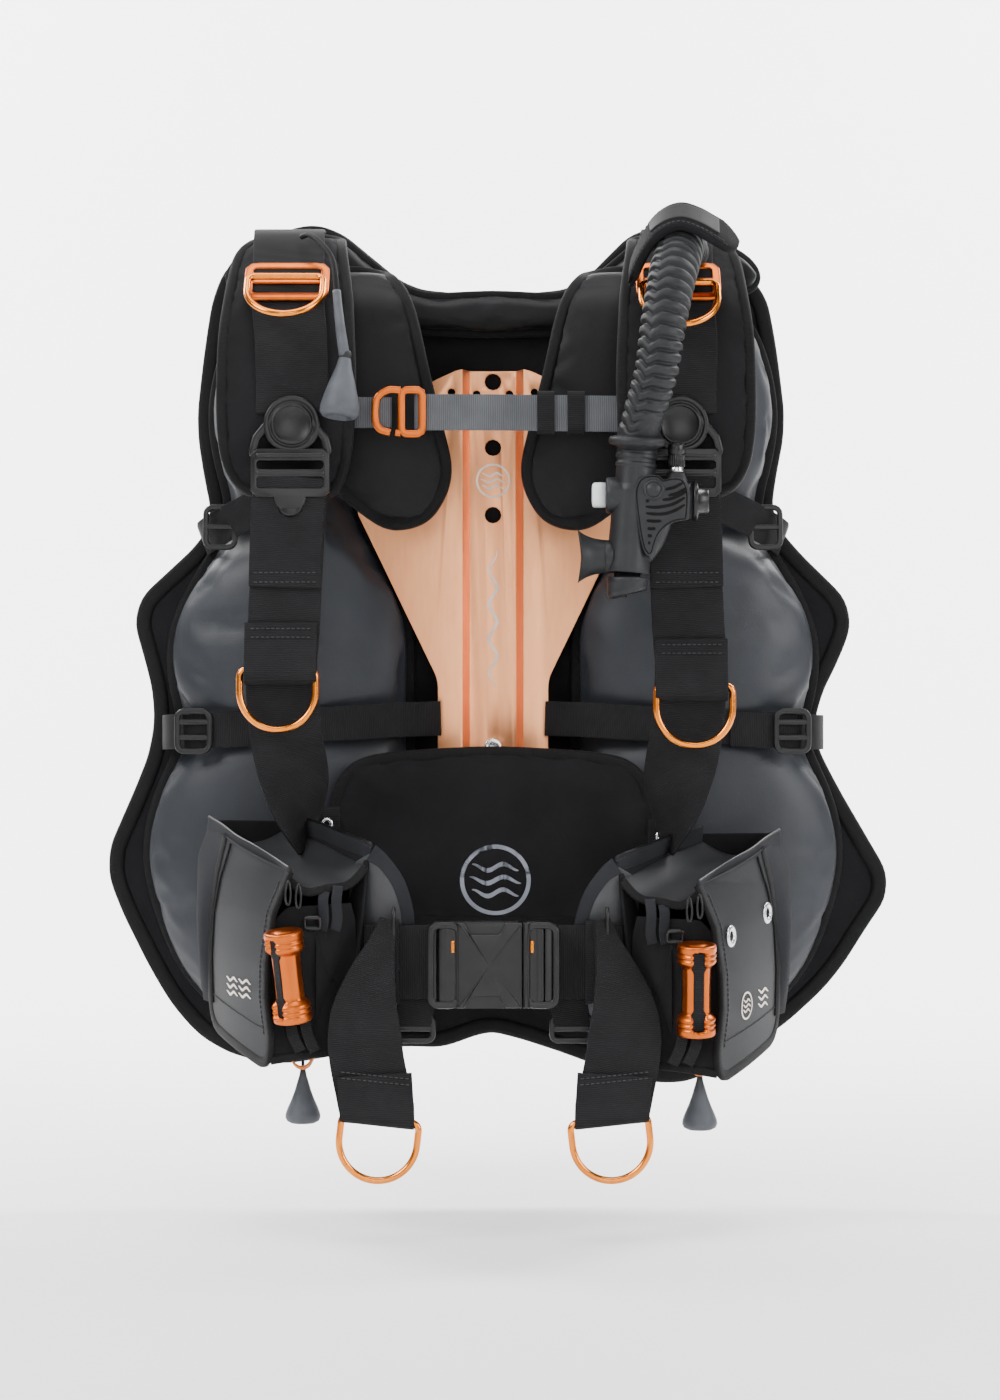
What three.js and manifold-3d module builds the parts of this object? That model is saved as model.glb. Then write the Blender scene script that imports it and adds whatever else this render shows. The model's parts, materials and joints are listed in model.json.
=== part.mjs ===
// Buoyancy compensator vest: a diver's backplate, harness and inflatable wing.
// Millimetres, +Z up. The diver faces -Y, so the front of the vest faces -Y and
// the cylinder stands behind it at +Y. X = 0 is the middle of the backplate, and
// Y = 0 is the rear face of the rubber pad that the cylinder leans on.
// The wearer's left is at +X. Paired pieces are drawn once for the +X side and
// mirrored for the right side.

import * as THREE from 'three';
import { mergeVertices } from 'three/addons/utils/BufferGeometryUtils.js';
import Module from 'manifold-3d';

const wasm = await Module();
wasm.setup();

// ---------------------------------------------------------------- dimensions

const GAP = 0.3;            // air between pieces that rest on each other
const WEB = 50;             // harness webbing, width
const WEB_T = 2.5;          // harness webbing, thickness
const NARROW_WEB = 25;      // sternum and compression straps, width
const STRAP_T = 1.5;        // compression strap, thickness

// depths along Y, from the cylinder forwards
const PAD_T = 8.2;          // cylinder pad
const SHELL_T = 5.5;        // wing panel behind the lobes
const SHELL_BACK = -(PAD_T + GAP);
const SHELL_FRONT = SHELL_BACK - SHELL_T;
const PLATE_T = 3;          // backplate sheet
const CHANNEL_DEPTH = 15;   // how far the backplate's spine is pressed back
const SPINE_BACK = SHELL_FRONT - 1;
const FLAT_BACK = SPINE_BACK - CHANNEL_DEPTH;
const LOBE_T = 42;          // inflated lobe
const LOBE_FRONT = SHELL_FRONT - GAP - LOBE_T;
const LUMBAR_T = 17;        // back cushion
const COLLAR_T = 26;        // neck collar
const LUMBAR_BACK = LOBE_FRONT - 1;
const LUMBAR_FRONT = LUMBAR_BACK - LUMBAR_T;

// backplate outline
const PLATE_TOP = 192;
const PLATE_WIDE = 98;      // half width at the shoulder tips
const PLATE_WIDE_Z = 90;
const PLATE_NARROW = 40;    // half width of the stem
const PLATE_NARROW_Z = -36;
const PLATE_BOTTOM = -200;
const SPINE_HALF = 17;      // half width of the spine's floor
const SPINE_SLOPE = 5;      // width of each sloped wall of the spine
const SPINE_HOLES_Z = [181, 133, 84];
const SPINE_HOLE_R = 6;
const LACE_HOLES_X = [-30, -12, 12, 30];
const LACE_HOLES_Z = 172;
const LACE_HOLE_R = 2.8;
const BOLT_Z = -85;
const BOLT_HEAD_R = 6.5;
const BOLT_SHANK_R = 4;

// fittings
const RING_WIRE = 5;        // D-ring section
const RING_W = WEB + 7;     // D-ring, outside width
const RING_H = 46;          // D-ring, outside height
const SLIDE_W = WEB + 9;    // shoulder slide, outside width
const SLIDE_H = 38;         // shoulder slide, height along the strap
const SLIDE_RAIL = 5;
const FRAME_T = 4;          // slides and sliders, thickness
const SHOULDER_TILT = THREE.MathUtils.degToRad(42);

// waist
const BELT_TOP = -203;
const BELT_Y = -182;        // rear face of the belt at the front of the waist
const BUCKLE_W = 62;        // socket, along the belt
const BUCKLE_H = WEB + 8;
const BUCKLE_T = 12;
const BUCKLE_LEFT = -42;
const PLUG_W = 20;          // the plug's block outside the socket
const TAIL_Y = BELT_Y - 10; // the webbing that hangs in front of the belt loops

// weight pocket
const POCKET_WALL = 4;
const POCKET_BACK = LUMBAR_FRONT - 11.7;
const POCKET_FACE = BELT_Y - 17;    // the foremost point of the pocket
const POUCH_W = 28;
const POUCH_X = 120.5;      // inner side of the pouch
const POUCH = {
  x0: POUCH_X, x1: POUCH_X + POUCH_W, back: POCKET_BACK - 12, front: POCKET_FACE + 11, low: -270, high: -205,
};
const POUCH_GAP = 1;        // room round a piece that slides in another
const HANDLE = { h: 62, endR: 13.2, endH: 13, waistR: 9.5, grooveW: 7, grooveDepth: 4 };

// cylinder band
const BAND_LOOP_W = 246;
const BAND_LOOP_D = 75;
const BAND_Z = 60;
const CYLINDER_PAD = { w: 90, low: -60, high: 150 };

// inflator
const HOSE_TOP = [150, -124, 271];
const HOSE_R_TOP = 17;
const HOSE_R_END = 12;
const INFLATOR_Y = -169;
const INFLATOR_R = 15;      // foot of the inflator's tube
const BUTTON_TRAVEL = 3;

// Each side of the harness hangs a little differently: out is towards the
// wearer's side, and down is lower.
const SIDES = [
  { name: 'right', sign: -1, shoulder: 0, slide: 0, ringTilt: 0.78, ringDrop: 0, ring: 0, pocket: 0, pocketDrop: 0, tail: 0, toggle: 0 },
  { name: 'left', sign: 1, shoulder: -9, slide: -14, ringTilt: 0.72, ringDrop: 4, ring: 11, pocket: 2, pocketDrop: 9, tail: 3, toggle: 12 },
];

// ------------------------------------------------------------------ finishes

const finish = (color, roughness, metalness = 0) => (
  new THREE.MeshStandardMaterial({ color, roughness, metalness })
);
const FINISH = {
  plate: finish(0xd9824f, 0.35, 0.9),
  anodised: finish(0xe0813a, 0.3, 0.9),
  steel: finish(0xb8babd, 0.3, 1),
  lobe: finish(0x2d3138, 0.6),
  shell: finish(0x141517, 0.8),
  padding: finish(0x17181a, 0.9),
  webbing: finish(0x121314, 0.85),
  greyWebbing: finish(0x55585e, 0.85),
  pocket: finish(0x1d1f22, 0.8),
  plastic: finish(0x101113, 0.45),
  rubber: finish(0x0f1012, 0.7),
  greyRubber: finish(0x5b5e64, 0.7),
  buttonGrey: finish(0xb4b7ba, 0.5),
};

// ------------------------------------------------------------ solid building

function toSolid(geometry) {
  const bare = geometry.clone();
  bare.deleteAttribute('normal');
  bare.deleteAttribute('uv');
  const merged = mergeVertices(bare, 1e-4);
  return new wasm.Manifold(new wasm.Mesh({
    numProp: 3,
    vertProperties: new Float32Array(merged.attributes.position.array),
    triVerts: new Uint32Array(merged.index.array),
  }));
}

function toGeometry(solid) {
  const mesh = solid.getMesh();
  const geometry = new THREE.BufferGeometry();
  geometry.setAttribute('position', new THREE.BufferAttribute(mesh.vertProperties, 3));
  geometry.setIndex(new THREE.BufferAttribute(mesh.triVerts, 1));
  geometry.computeVertexNormals();
  return geometry;
}

const join = (...parts) => toGeometry(parts.map(toSolid).reduce((a, b) => a.add(b)));
const common = (a, b) => toGeometry(toSolid(a).intersect(toSolid(b)));
const cut = (base, ...tools) => (
  toGeometry(tools.map(toSolid).reduce((solid, tool) => solid.subtract(tool), toSolid(base)))
);

// ------------------------------------------------------------------ outlines

// A polygon whose corners are rounded off over a distance r along each side.
function rounded(points, r, steps = 1) {
  const shape = new THREE.Shape();
  const corners = points.map(([x, y]) => new THREE.Vector2(x, y));
  corners.forEach((corner, i) => {
    const before = corners[(i + corners.length - 1) % corners.length];
    const after = corners[(i + 1) % corners.length];
    const reach = Math.min(r, corner.distanceTo(before) * 0.45, corner.distanceTo(after) * 0.45);
    const from = before.clone().sub(corner).setLength(reach).add(corner);
    const to = after.clone().sub(corner).setLength(reach).add(corner);
    if (i === 0) shape.moveTo(from.x, from.y);
    else shape.lineTo(from.x, from.y);
    if (steps > 1) shape.quadraticCurveTo(corner.x, corner.y, to.x, to.y);
    else shape.lineTo(to.x, to.y);
  });
  shape.closePath();
  return shape;
}

// A smooth closed outline through the points, with no corners.
function smooth(points, count) {
  const loop = new THREE.CatmullRomCurve3(points.map(([x, y]) => new THREE.Vector3(x, y, 0)), true);
  return new THREE.Shape(loop.getSpacedPoints(count).slice(0, -1).map((p) => new THREE.Vector2(p.x, p.y)));
}

const rectangle = (x0, x1, y0, y1) => [[x0, y0], [x1, y0], [x1, y1], [x0, y1]];
const mirrored = (points) => points.map(([x, y]) => [-x, y]).reverse();

// A band of constant thickness along a smooth centre line.
function ribbon(points, thickness, count) {
  const line = new THREE.SplineCurve(points.map(([x, y]) => new THREE.Vector2(x, y)));
  const stations = Array.from({ length: count + 1 }, (_, i) => i / count);
  const edge = (side) => stations.map((t) => {
    const tangent = line.getTangentAt(t);
    const normal = new THREE.Vector2(-tangent.y, tangent.x);
    return line.getPointAt(t).addScaledVector(normal, side * thickness / 2);
  });
  return new THREE.Shape([...edge(1), ...edge(-1).reverse()]);
}

// A D: a straight bar along the top at y = 0, and a half circle below.
function dOutline(width, height) {
  const r = width / 2;
  const shape = new THREE.Shape();
  shape.moveTo(r - 4, 0);
  shape.lineTo(-r + 4, 0);
  shape.lineTo(-r, -4);
  shape.lineTo(-r, r - height);
  shape.absarc(0, r - height, r, Math.PI, 2 * Math.PI, false);
  shape.lineTo(r, -4);
  shape.closePath();
  return shape;
}

// ---------------------------------------------------------- extruding shapes

// An outline in X and Z, from depth yBack forwards by thickness.
function front(shape, yBack, thickness, options = {}) {
  const bevel = options.bevel ?? 0;
  const geometry = new THREE.ExtrudeGeometry(shape, {
    depth: thickness - 2 * bevel,
    steps: 1,
    curveSegments: options.segments ?? 4,
    bevelEnabled: bevel > 0,
    bevelThickness: bevel,
    bevelSize: options.bevelSize ?? bevel,
    bevelOffset: -(options.bevelSize ?? bevel),
    bevelSegments: options.bevelSegments ?? 1,
  });
  return geometry.translate(0, 0, bevel).rotateX(Math.PI / 2).translate(0, yBack, 0);
}

// An outline in Y and Z, extruded from x0 to x1.
function side(shape, x0, x1) {
  const geometry = new THREE.ExtrudeGeometry(shape, {
    depth: x1 - x0, steps: 1, bevelEnabled: false, curveSegments: 4,
  });
  const turn = new THREE.Matrix4().makeBasis(
    new THREE.Vector3(0, 1, 0), new THREE.Vector3(0, 0, 1), new THREE.Vector3(1, 0, 0),
  );
  return geometry.applyMatrix4(turn).translate(x0, 0, 0);
}

// An outline in X and Y, extruded from z0 to z1.
function plan(shape, z0, z1) {
  const geometry = new THREE.ExtrudeGeometry(shape, {
    depth: z1 - z0, steps: 1, bevelEnabled: false, curveSegments: 6,
  });
  return geometry.translate(0, 0, z0);
}

function box(x0, x1, y0, y1, z0, z1) {
  const geometry = new THREE.BoxGeometry(x1 - x0, y1 - y0, z1 - z0);
  return geometry.translate((x0 + x1) / 2, (y0 + y1) / 2, (z0 + z1) / 2);
}

// A round bar from one point to another.
function bar(from, to, rFrom, rTo = rFrom, sides = 12) {
  const a = new THREE.Vector3(...from);
  const b = new THREE.Vector3(...to);
  const geometry = new THREE.CylinderGeometry(rTo, rFrom, a.distanceTo(b), sides);
  const turn = new THREE.Quaternion().setFromUnitVectors(
    new THREE.Vector3(0, 1, 0), b.clone().sub(a).normalize(),
  );
  const middle = a.add(b).multiplyScalar(0.5);
  return geometry.applyQuaternion(turn).translate(middle.x, middle.y, middle.z);
}

// A round tube along a curve whose radius changes, closed at both ends. The
// lathe profile is drawn along Y and then bent onto the curve.
function bentTube(points, radiusAt, steps, sides) {
  const curve = new THREE.CatmullRomCurve3(points.map((p) => new THREE.Vector3(...p)));
  curve.arcLengthDivisions = 400;
  const profile = [new THREE.Vector2(0, 0)];
  for (let i = 0; i <= steps; i += 1) profile.push(new THREE.Vector2(radiusAt(i / steps), i / steps));
  profile.push(new THREE.Vector2(0, 1));
  const geometry = new THREE.LatheGeometry(profile, sides);
  const position = geometry.attributes.position;
  for (let i = 0; i < position.count; i += 1) {
    const t = THREE.MathUtils.clamp(position.getY(i), 0, 1);
    const along = curve.getTangentAt(t);
    const across = new THREE.Vector3(1, 0, 0).addScaledVector(along, -along.x).normalize();
    const up = new THREE.Vector3().crossVectors(across, along);
    const place = curve.getPointAt(t);
    place.addScaledVector(across, position.getX(i)).addScaledVector(up, position.getZ(i));
    position.setXYZ(i, place.x, place.y, place.z);
  }
  return geometry;
}

// ------------------------------------------------------------------ assembly

const vest = new THREE.Group();

function piece(name, geometry, material, parent = vest) {
  const mesh = new THREE.Mesh(geometry, material);
  mesh.name = name;
  parent.add(mesh);
  return mesh;
}

// A group for one side of the harness, mirrored for the right.
function sideGroup(where, out = 0, down = 0) {
  const group = new THREE.Group();
  group.scale.x = where.sign;
  group.position.set(where.sign * out, 0, -down);
  vest.add(group);
  return group;
}

// ----------------------------------------------------------------- backplate

function plateOutline() {
  const half = [
    [PLATE_NARROW, PLATE_BOTTOM], [PLATE_NARROW, PLATE_NARROW_Z],
    [PLATE_WIDE, PLATE_WIDE_Z - 6], [PLATE_WIDE, PLATE_WIDE_Z],
    [46, PLATE_TOP - 13], [24, PLATE_TOP - 3],
  ];
  return rounded([...half, ...mirrored(half)], 6, 2);
}

function makePlate() {
  const slopeEnd = SPINE_HALF + SPINE_SLOPE;
  const wide = PLATE_WIDE + 5;
  const backEdge = [
    [-wide, FLAT_BACK], [-slopeEnd, FLAT_BACK], [-SPINE_HALF, SPINE_BACK],
    [SPINE_HALF, SPINE_BACK], [slopeEnd, FLAT_BACK], [wide, FLAT_BACK],
  ];
  const frontEdge = backEdge.map(([x, y]) => [x, y - PLATE_T]).reverse();
  const sheet = new THREE.Shape([...backEdge, ...frontEdge].map(([x, y]) => new THREE.Vector2(x, y)));
  const bent = plan(sheet, PLATE_BOTTOM - 5, PLATE_TOP + 5);
  const depth = CHANNEL_DEPTH + PLATE_T + 10;
  const blank = common(bent, front(plateOutline(), SPINE_BACK + 5, depth));
  const through = (x, z, r) => bar([x, SPINE_BACK + 5, z], [x, FLAT_BACK - 10, z], r, r, 12);
  const holes = [
    ...SPINE_HOLES_Z.map((z) => through(0, z, SPINE_HOLE_R)),
    ...LACE_HOLES_X.map((x) => through(x, LACE_HOLES_Z, LACE_HOLE_R)),
    through(0, BOLT_Z, BOLT_SHANK_R + GAP),
  ];
  return cut(blank, ...holes);
}
piece('backplate', makePlate(), FINISH.plate);

function makeBolt() {
  const seat = SPINE_BACK - PLATE_T - GAP;
  const head = bar([0, seat, BOLT_Z], [0, seat - 6, BOLT_Z], BOLT_HEAD_R, BOLT_HEAD_R, 16);
  const shank = bar([0, seat + PLATE_T + 2 * GAP, BOLT_Z], [0, seat - 1, BOLT_Z], BOLT_SHANK_R);
  const socket = bar([0, seat - 2.5, BOLT_Z], [0, seat - 7, BOLT_Z], 3, 3, 6);
  return cut(join(head, shank), socket);
}
piece('plate_bolt', makeBolt(), FINISH.steel);

// ---------------------------------------------------------------------- wing

const WING_OUTER_RIGHT = [
  [120, 291], [141, 290], [186, 268], [198, 248], [205, 205], [211, 150], [204, 105],
  [198, 81], [208, 62], [259, 15], [249, -18], [241, -51], [243, -84], [251, -106],
  [278, -168], [268, -198], [243, -248], [224, -278], [200, -300], [159, -312],
];
const WING_OUTER_LEFT = [
  [110, 291], [140, 283], [193, 249], [201, 208], [208, 150], [199, 103], [197, 81],
  [214, 58], [259, 14], [248, -18], [232, -48], [228, -80], [246, -116], [287, -186],
  [270, -210], [246, -248], [222, -272], [200, -290], [152, -320],
];
const WING_BOTTOM = [
  [129, -327], [82, -314], [60, -305], [14, -290], [-11, -285], [-29, -299], [-71, -297],
];
const NECK_DIP = [[63, 244], [0, 238], [-63, 244]];

function makeWingShell() {
  const left = WING_OUTER_LEFT;
  const right = mirrored(WING_OUTER_RIGHT);
  const outline = [...NECK_DIP.slice().reverse(), ...left, ...WING_BOTTOM, ...right];
  return front(rounded(outline, 10), SHELL_BACK, SHELL_T);
}
piece('wing_back_shell', makeWingShell(), FINISH.shell);

const LOBE_INNER = 62;
const LOBE_OUTLINE = [
  [LOBE_INNER + 4, -290], [LOBE_INNER, -240], [LOBE_INNER, -40], [LOBE_INNER, 4],
  [PLATE_WIDE + 6, PLATE_WIDE_Z + 4], [116, 150], [128, 210], [150, 234], [180, 230],
  [196, 196], [203, 150], [194, 105], [188, 78], [206, 50], [232, 0], [231, -45],
  [221, -76], [238, -108], [251, -158], [243, -200], [224, -245], [198, -273],
  [140, -300], [100, -300],
];
function makeLobe() {
  return front(smooth(LOBE_OUTLINE, 56), SHELL_FRONT - GAP, LOBE_T, {
    bevel: 14, bevelSize: 10, bevelSegments: 2,
  });
}

// ------------------------------------------------------------ harness pieces

const COLLAR_OUTLINE = [
  [0, 243], [50, 240], [64, 244], [90, 266], [119, 291], [141, 290], [186, 268],
  [194, 252], [182, 244], [150, 262], [124, 262], [98, 240], [64, 218], [0, 216],
];
function makeCollar() {
  const half = COLLAR_OUTLINE.slice(1, -1);
  const outline = [COLLAR_OUTLINE[0], ...half, COLLAR_OUTLINE.at(-1), ...mirrored(half)];
  return front(rounded(outline, 6), SHELL_FRONT - GAP, COLLAR_T);
}

// Centre lines seen from the side, as Y and Z.
const SHOULDER_LINE = [
  [-43, 277], [-62, 276], [-80, 269], [-100, 252], [-124, 224], [-136, 196], [-139, 150], [-131, 92],
];
const SHOULDER_PAD_T = 11;
const CHEST_LINE = [[-43, 253], [-60, 253], [-77, 244], [-92, 218], [-98, 160], [-92, 70]];
const CHEST_PAD_T = 9;
const SHOULDER_OUTLINE = [
  [110, 280], [158, 280], [179, 262], [186, 200], [187, 143], [184, 114], [170, 94],
  [113, 88], [101, 120], [98, 170], [101, 228],
];
const CHEST_OUTLINE = [
  [104, 262], [68, 244], [58, 222], [48, 175], [31, 108], [45, 81], [69, 71],
  [98, 92], [124, 116], [128, 200], [124, 258],
];

function sidePad(outline, line, thickness, steps) {
  const xs = outline.map(([x]) => x);
  const reach = 20 - Math.min(...line.map(([y]) => y));
  const bandSolid = side(ribbon(line, thickness, steps), Math.min(...xs) - 5, Math.max(...xs) + 5);
  return common(bandSolid, front(rounded(outline, 8, 2), 0, reach, { segments: 2 }));
}

// The webbing from the ladder lock down to the pocket, tapering to an edge
// where it turns round the waist.
const CHEST_WEB_LINE = [[-142.5, 112], [-142, 60], [-139, -30], [-129, -90], [-112, -134]];
function makeChestWebbing() {
  const half = WEB / 2;
  const outline = [
    [143 - half, 112], [143 + half, 112], [147 + half, -30], [143 + half, -80],
    [131, -134], [127, -134], [147 - half, -40],
  ];
  return sidePad(outline, CHEST_WEB_LINE, WEB_T, 8);
}

// A flat frame with two slots for webbing, standing in X and Z about its centre.
function frame(w, h, rail, t) {
  const shape = rounded(rectangle(-w / 2, w / 2, -h / 2, h / 2), 5);
  const slot = (z0, z1) => rounded(rectangle(-w / 2 + rail, w / 2 - rail, z0, z1), 1.5);
  shape.holes.push(slot(-h / 2 + rail, -rail / 2), slot(rail / 2, h / 2 - rail));
  return front(shape, t / 2, t);
}

function makeRing() {
  const shape = dOutline(RING_W, RING_H);
  const inner = dOutline(RING_W - 2 * RING_WIRE, RING_H - 2 * RING_WIRE);
  shape.holes.push(new THREE.Path(inner.getPoints(8).map((p) => p.add(new THREE.Vector2(0, -RING_WIRE)))));
  const ring = front(shape, RING_WIRE / 2, RING_WIRE, { bevel: 1.4, segments: 8 });
  return ring.translate(0, 0, RING_WIRE / 2);
}

// The teardrop back of the swivel, its disc and the socket for the ladder lock.
const SWIVEL = { x: 138, back: -146, z: 139, r: 17, discT: 5, plateT: 4 };
function makeSwivel() {
  const { x, back, z, r, discT, plateT } = SWIVEL;
  const disc = bar([0, back, 0], [0, back - discT, 0], r, r, 20);
  const drop = [[-12, 12], [12, 12], [r, 0], [r + 3, -r], [-r - 3, -r], [-r, 0]];
  const plate = front(rounded(drop, 5), back, plateT);
  return join(disc, plate).translate(x, 0, z);
}

const LOCK = { w: WEB + 4, h: 33, t: 7, side: 4, tabH: 10, tabT: 4 };
const LOCK_SLOTS = [[-14, -8], [-27, -19]];     // heights below the top edge
function makeLadderLock() {
  const half = LOCK.w / 2;
  const body = rounded(rectangle(-half, half, -LOCK.h, 0), 4);
  for (const [low, high] of LOCK_SLOTS) {
    body.holes.push(rounded(rectangle(-half + LOCK.side, half - LOCK.side, low, high), 1.5));
  }
  const lock = front(body, SWIVEL.back + 1, LOCK.t);
  const tabOutline = [[-12, 0], [12, 0], [9, -LOCK.tabH], [-9, -LOCK.tabH]];
  const tab = front(rounded(tabOutline, 3), SWIVEL.back - 2, LOCK.tabT);
  const joined = join(lock, tab.translate(0, 0, -LOCK.h + 2));
  return joined.translate(SWIVEL.x + 1, 0, SWIVEL.z - SWIVEL.r - GAP);
}

// --------------------------------------------------------- compression strap

const STRAP_Y = LOBE_FRONT - 2.7;
const STRAP_LINE = [
  [43, STRAP_Y + 19], [66, STRAP_Y + 3], [92, STRAP_Y], [206, STRAP_Y], [229, STRAP_Y + 9],
  [235, STRAP_Y + 25], [235, SHELL_FRONT - 4],
];
const STRAP_Z = { inner: -51, outer: -61 };     // its top edge falls outwards
function makeLowerStrap() {
  const across = plan(ribbon(STRAP_LINE, STRAP_T, 16), STRAP_Z.outer - NARROW_WEB - 10, STRAP_Z.inner + 10);
  const outline = [
    [40, STRAP_Z.inner], [40, STRAP_Z.inner - NARROW_WEB],
    [240, STRAP_Z.outer - NARROW_WEB], [240, STRAP_Z.outer],
  ];
  return common(across, front(rounded(outline, 0.5), 0, -STRAP_Y + 20));
}
const SLIDER = { x: 214, w: 28, h: NARROW_WEB + 8, rail: 3.5 };
function makeLowerSlider() {
  const middle = STRAP_Z.outer - NARROW_WEB / 2 + 0.5;
  return frame(SLIDER.w, SLIDER.h, SLIDER.rail, FRAME_T).translate(SLIDER.x, STRAP_Y - FRAME_T / 2 - STRAP_T, middle);
}

// --------------------------------------------------------------------- waist

const BELT_BACK = LUMBAR_FRONT - 3.7;
const BELT_LINE = [
  [43, BELT_Y - 1], [60, BELT_Y - 1], [76, BELT_Y - 1], [96, BELT_Y + 10], [104, BELT_Y + 32],
  [104, BELT_BACK - 32], [100, BELT_BACK],
];
const BELT_RISE = 64;       // the side panel climbs this much towards the back
function makeBelt() {
  const low = BELT_TOP - WEB;
  const high = BELT_TOP + BELT_RISE;
  const upright = plan(ribbon(BELT_LINE, WEB_T, 14), low - 1, high + 1);
  const inFront = BELT_Y - 10;
  const behind = BELT_BACK + 10;
  const rise = [
    [inFront, low], [inFront, BELT_TOP], [BELT_Y + 22, BELT_TOP], [BELT_BACK - 6, high], [behind, high], [behind, low],
  ];
  return common(upright, side(new THREE.Shape(rise.map(([y, z]) => new THREE.Vector2(y, z))), 30, 130));
}

const LOOP = { x0: 64, x1: 72, wall: 2, room: 1 };
function makeBeltLoop() {
  const outer = LOOP.wall + LOOP.room;
  const y0 = BELT_Y - 1 - WEB_T / 2;
  const y1 = BELT_Y - 1 + WEB_T / 2;
  const body = box(LOOP.x0, LOOP.x1, y0 - outer, y1 + outer, BELT_TOP - WEB - outer, BELT_TOP + outer);
  const inside = box(
    LOOP.x0 - 1, LOOP.x1 + 1, y0 - LOOP.room, y1 + LOOP.room,
    BELT_TOP - WEB - LOOP.room, BELT_TOP + LOOP.room,
  );
  return cut(body, inside);
}

const BELT_MIDDLE_Z = BELT_TOP - WEB / 2 - 1;
const PRONG = { reach: 20, h: 9, t: 5 };
const BUCKLE_RIM = 4;
const BUCKLE_SLOT = 5;
const BUCKLE_BACK = BELT_Y - 1 - WEB_T / 2 - 4 * GAP;
// Where the belt's webbing passes through half of the buckle.
function webbingSlot(x) {
  const half = WEB / 2;
  return box(
    x, x + BUCKLE_SLOT, BUCKLE_BACK - BUCKLE_T - 1, BUCKLE_BACK + 1, BELT_MIDDLE_Z - half, BELT_MIDDLE_Z + half,
  );
}
function makeBuckleSocket() {
  const x0 = BUCKLE_LEFT;
  const x1 = x0 + BUCKLE_W;
  const back = BUCKLE_BACK;
  const half = BUCKLE_H / 2;
  const shell = front(
    rounded(rectangle(x0, x1, BELT_MIDDLE_Z - half, BELT_MIDDLE_Z + half), 3), back, BUCKLE_T,
  );
  const room = POUCH_GAP;
  const y = back - BUCKLE_T / 2;
  const cavity = box(
    x1 - PRONG.reach - 3, x1 + 1, y - PRONG.t / 2 - room, y + PRONG.t / 2 + room,
    BELT_MIDDLE_Z - half + BUCKLE_RIM, BELT_MIDDLE_Z + half - BUCKLE_RIM,
  );
  return cut(shell, cavity, webbingSlot(x0 + BUCKLE_RIM));
}
function makeBucklePlug() {
  const x0 = BUCKLE_LEFT + BUCKLE_W + GAP;
  const back = BUCKLE_BACK;
  const half = BUCKLE_H / 2;
  const block = front(
    rounded(rectangle(x0, x0 + PLUG_W, BELT_MIDDLE_Z - half, BELT_MIDDLE_Z + half), 3), back, BUCKLE_T,
  );
  const y = back - BUCKLE_T / 2;
  const prong = (z) => box(
    x0 - PRONG.reach, x0 + 1, y - PRONG.t / 2, y + PRONG.t / 2, z - PRONG.h / 2, z + PRONG.h / 2,
  );
  const lever = half - BUCKLE_RIM - PRONG.h / 2 - POUCH_GAP;
  const plug = join(block, prong(BELT_MIDDLE_Z + lever), prong(BELT_MIDDLE_Z - lever), prong(BELT_MIDDLE_Z));
  return cut(plug, webbingSlot(x0 + PLUG_W / 2));
}

// The webbing end that folds out of the belt loop and hangs with a ring on it.
const TAIL_LINE = [[TAIL_Y + 2, -205], [TAIL_Y, -228], [TAIL_Y - 5, -262], [TAIL_Y - 8, -330]];
const TAIL_RING = { x: 74, y: TAIL_Y - 13, z: -329, tilt: 0.12 };
function makeTail() {
  const outline = [
    [67, -206], [79, -212], [98, -231], [113, -252], [112, -292], [103, -328], [53, -322],
    [66, -279], [74, -254],
  ];
  return sidePad(outline, TAIL_LINE, WEB_T, 8);
}

// ------------------------------------------------------------- weight pocket

// The wall beside the belt, the front corner next to it, the front and the back of the outer wall.
const POCKET_PLAN = [
  [POUCH.x0 - 10.5, POCKET_BACK], [POUCH.x0 - 8.5, POCKET_FACE + 9], [POUCH.x1 + 6.5, POCKET_FACE],
  [POUCH.x1 + 59.5, POCKET_BACK - 10],
];
const POCKET_FLOOR = -283;
const POCKET_SIDE = [
  [POCKET_BACK, -131], [POCKET_FACE, -169], [POCKET_FACE, POCKET_FLOOR - 13], [POCKET_BACK, POCKET_FLOOR],
];
function makePocket() {
  const body = common(
    plan(rounded(POCKET_PLAN, 5), -320, -100),
    side(new THREE.Shape(POCKET_SIDE.map(([y, z]) => new THREE.Vector2(y, z))), 90, 240),
  );
  const inner = POUCH.x1 + POUCH_GAP + POCKET_WALL;
  const outer = POCKET_PLAN[3][0] - 2 * POCKET_WALL + 1;
  const cargoPlan = [
    [inner, POCKET_BACK - POCKET_WALL], [inner, POCKET_FACE + 10], [inner + 3, POCKET_FACE + 10],
    [outer, POCKET_BACK - 15], [outer - 5, POCKET_BACK - 8],
  ];
  const cargo = plan(rounded(cargoPlan, 2), POCKET_FLOOR + POCKET_WALL, -100);
  const chamber = box(
    POUCH.x0 - POUCH_GAP, POUCH.x1 + POUCH_GAP, POCKET_FACE - 20, POUCH.back + POUCH_GAP,
    POUCH.low - POUCH_GAP, POUCH.high + POUCH_GAP,
  );
  return cut(body, cargo, chamber);
}

function makePouch() {
  return front(
    rounded(rectangle(POUCH.x0, POUCH.x1, POUCH.low, POUCH.high), 6), POUCH.back,
    POUCH.back - POUCH.front, { bevel: 3 },
  );
}

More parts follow.
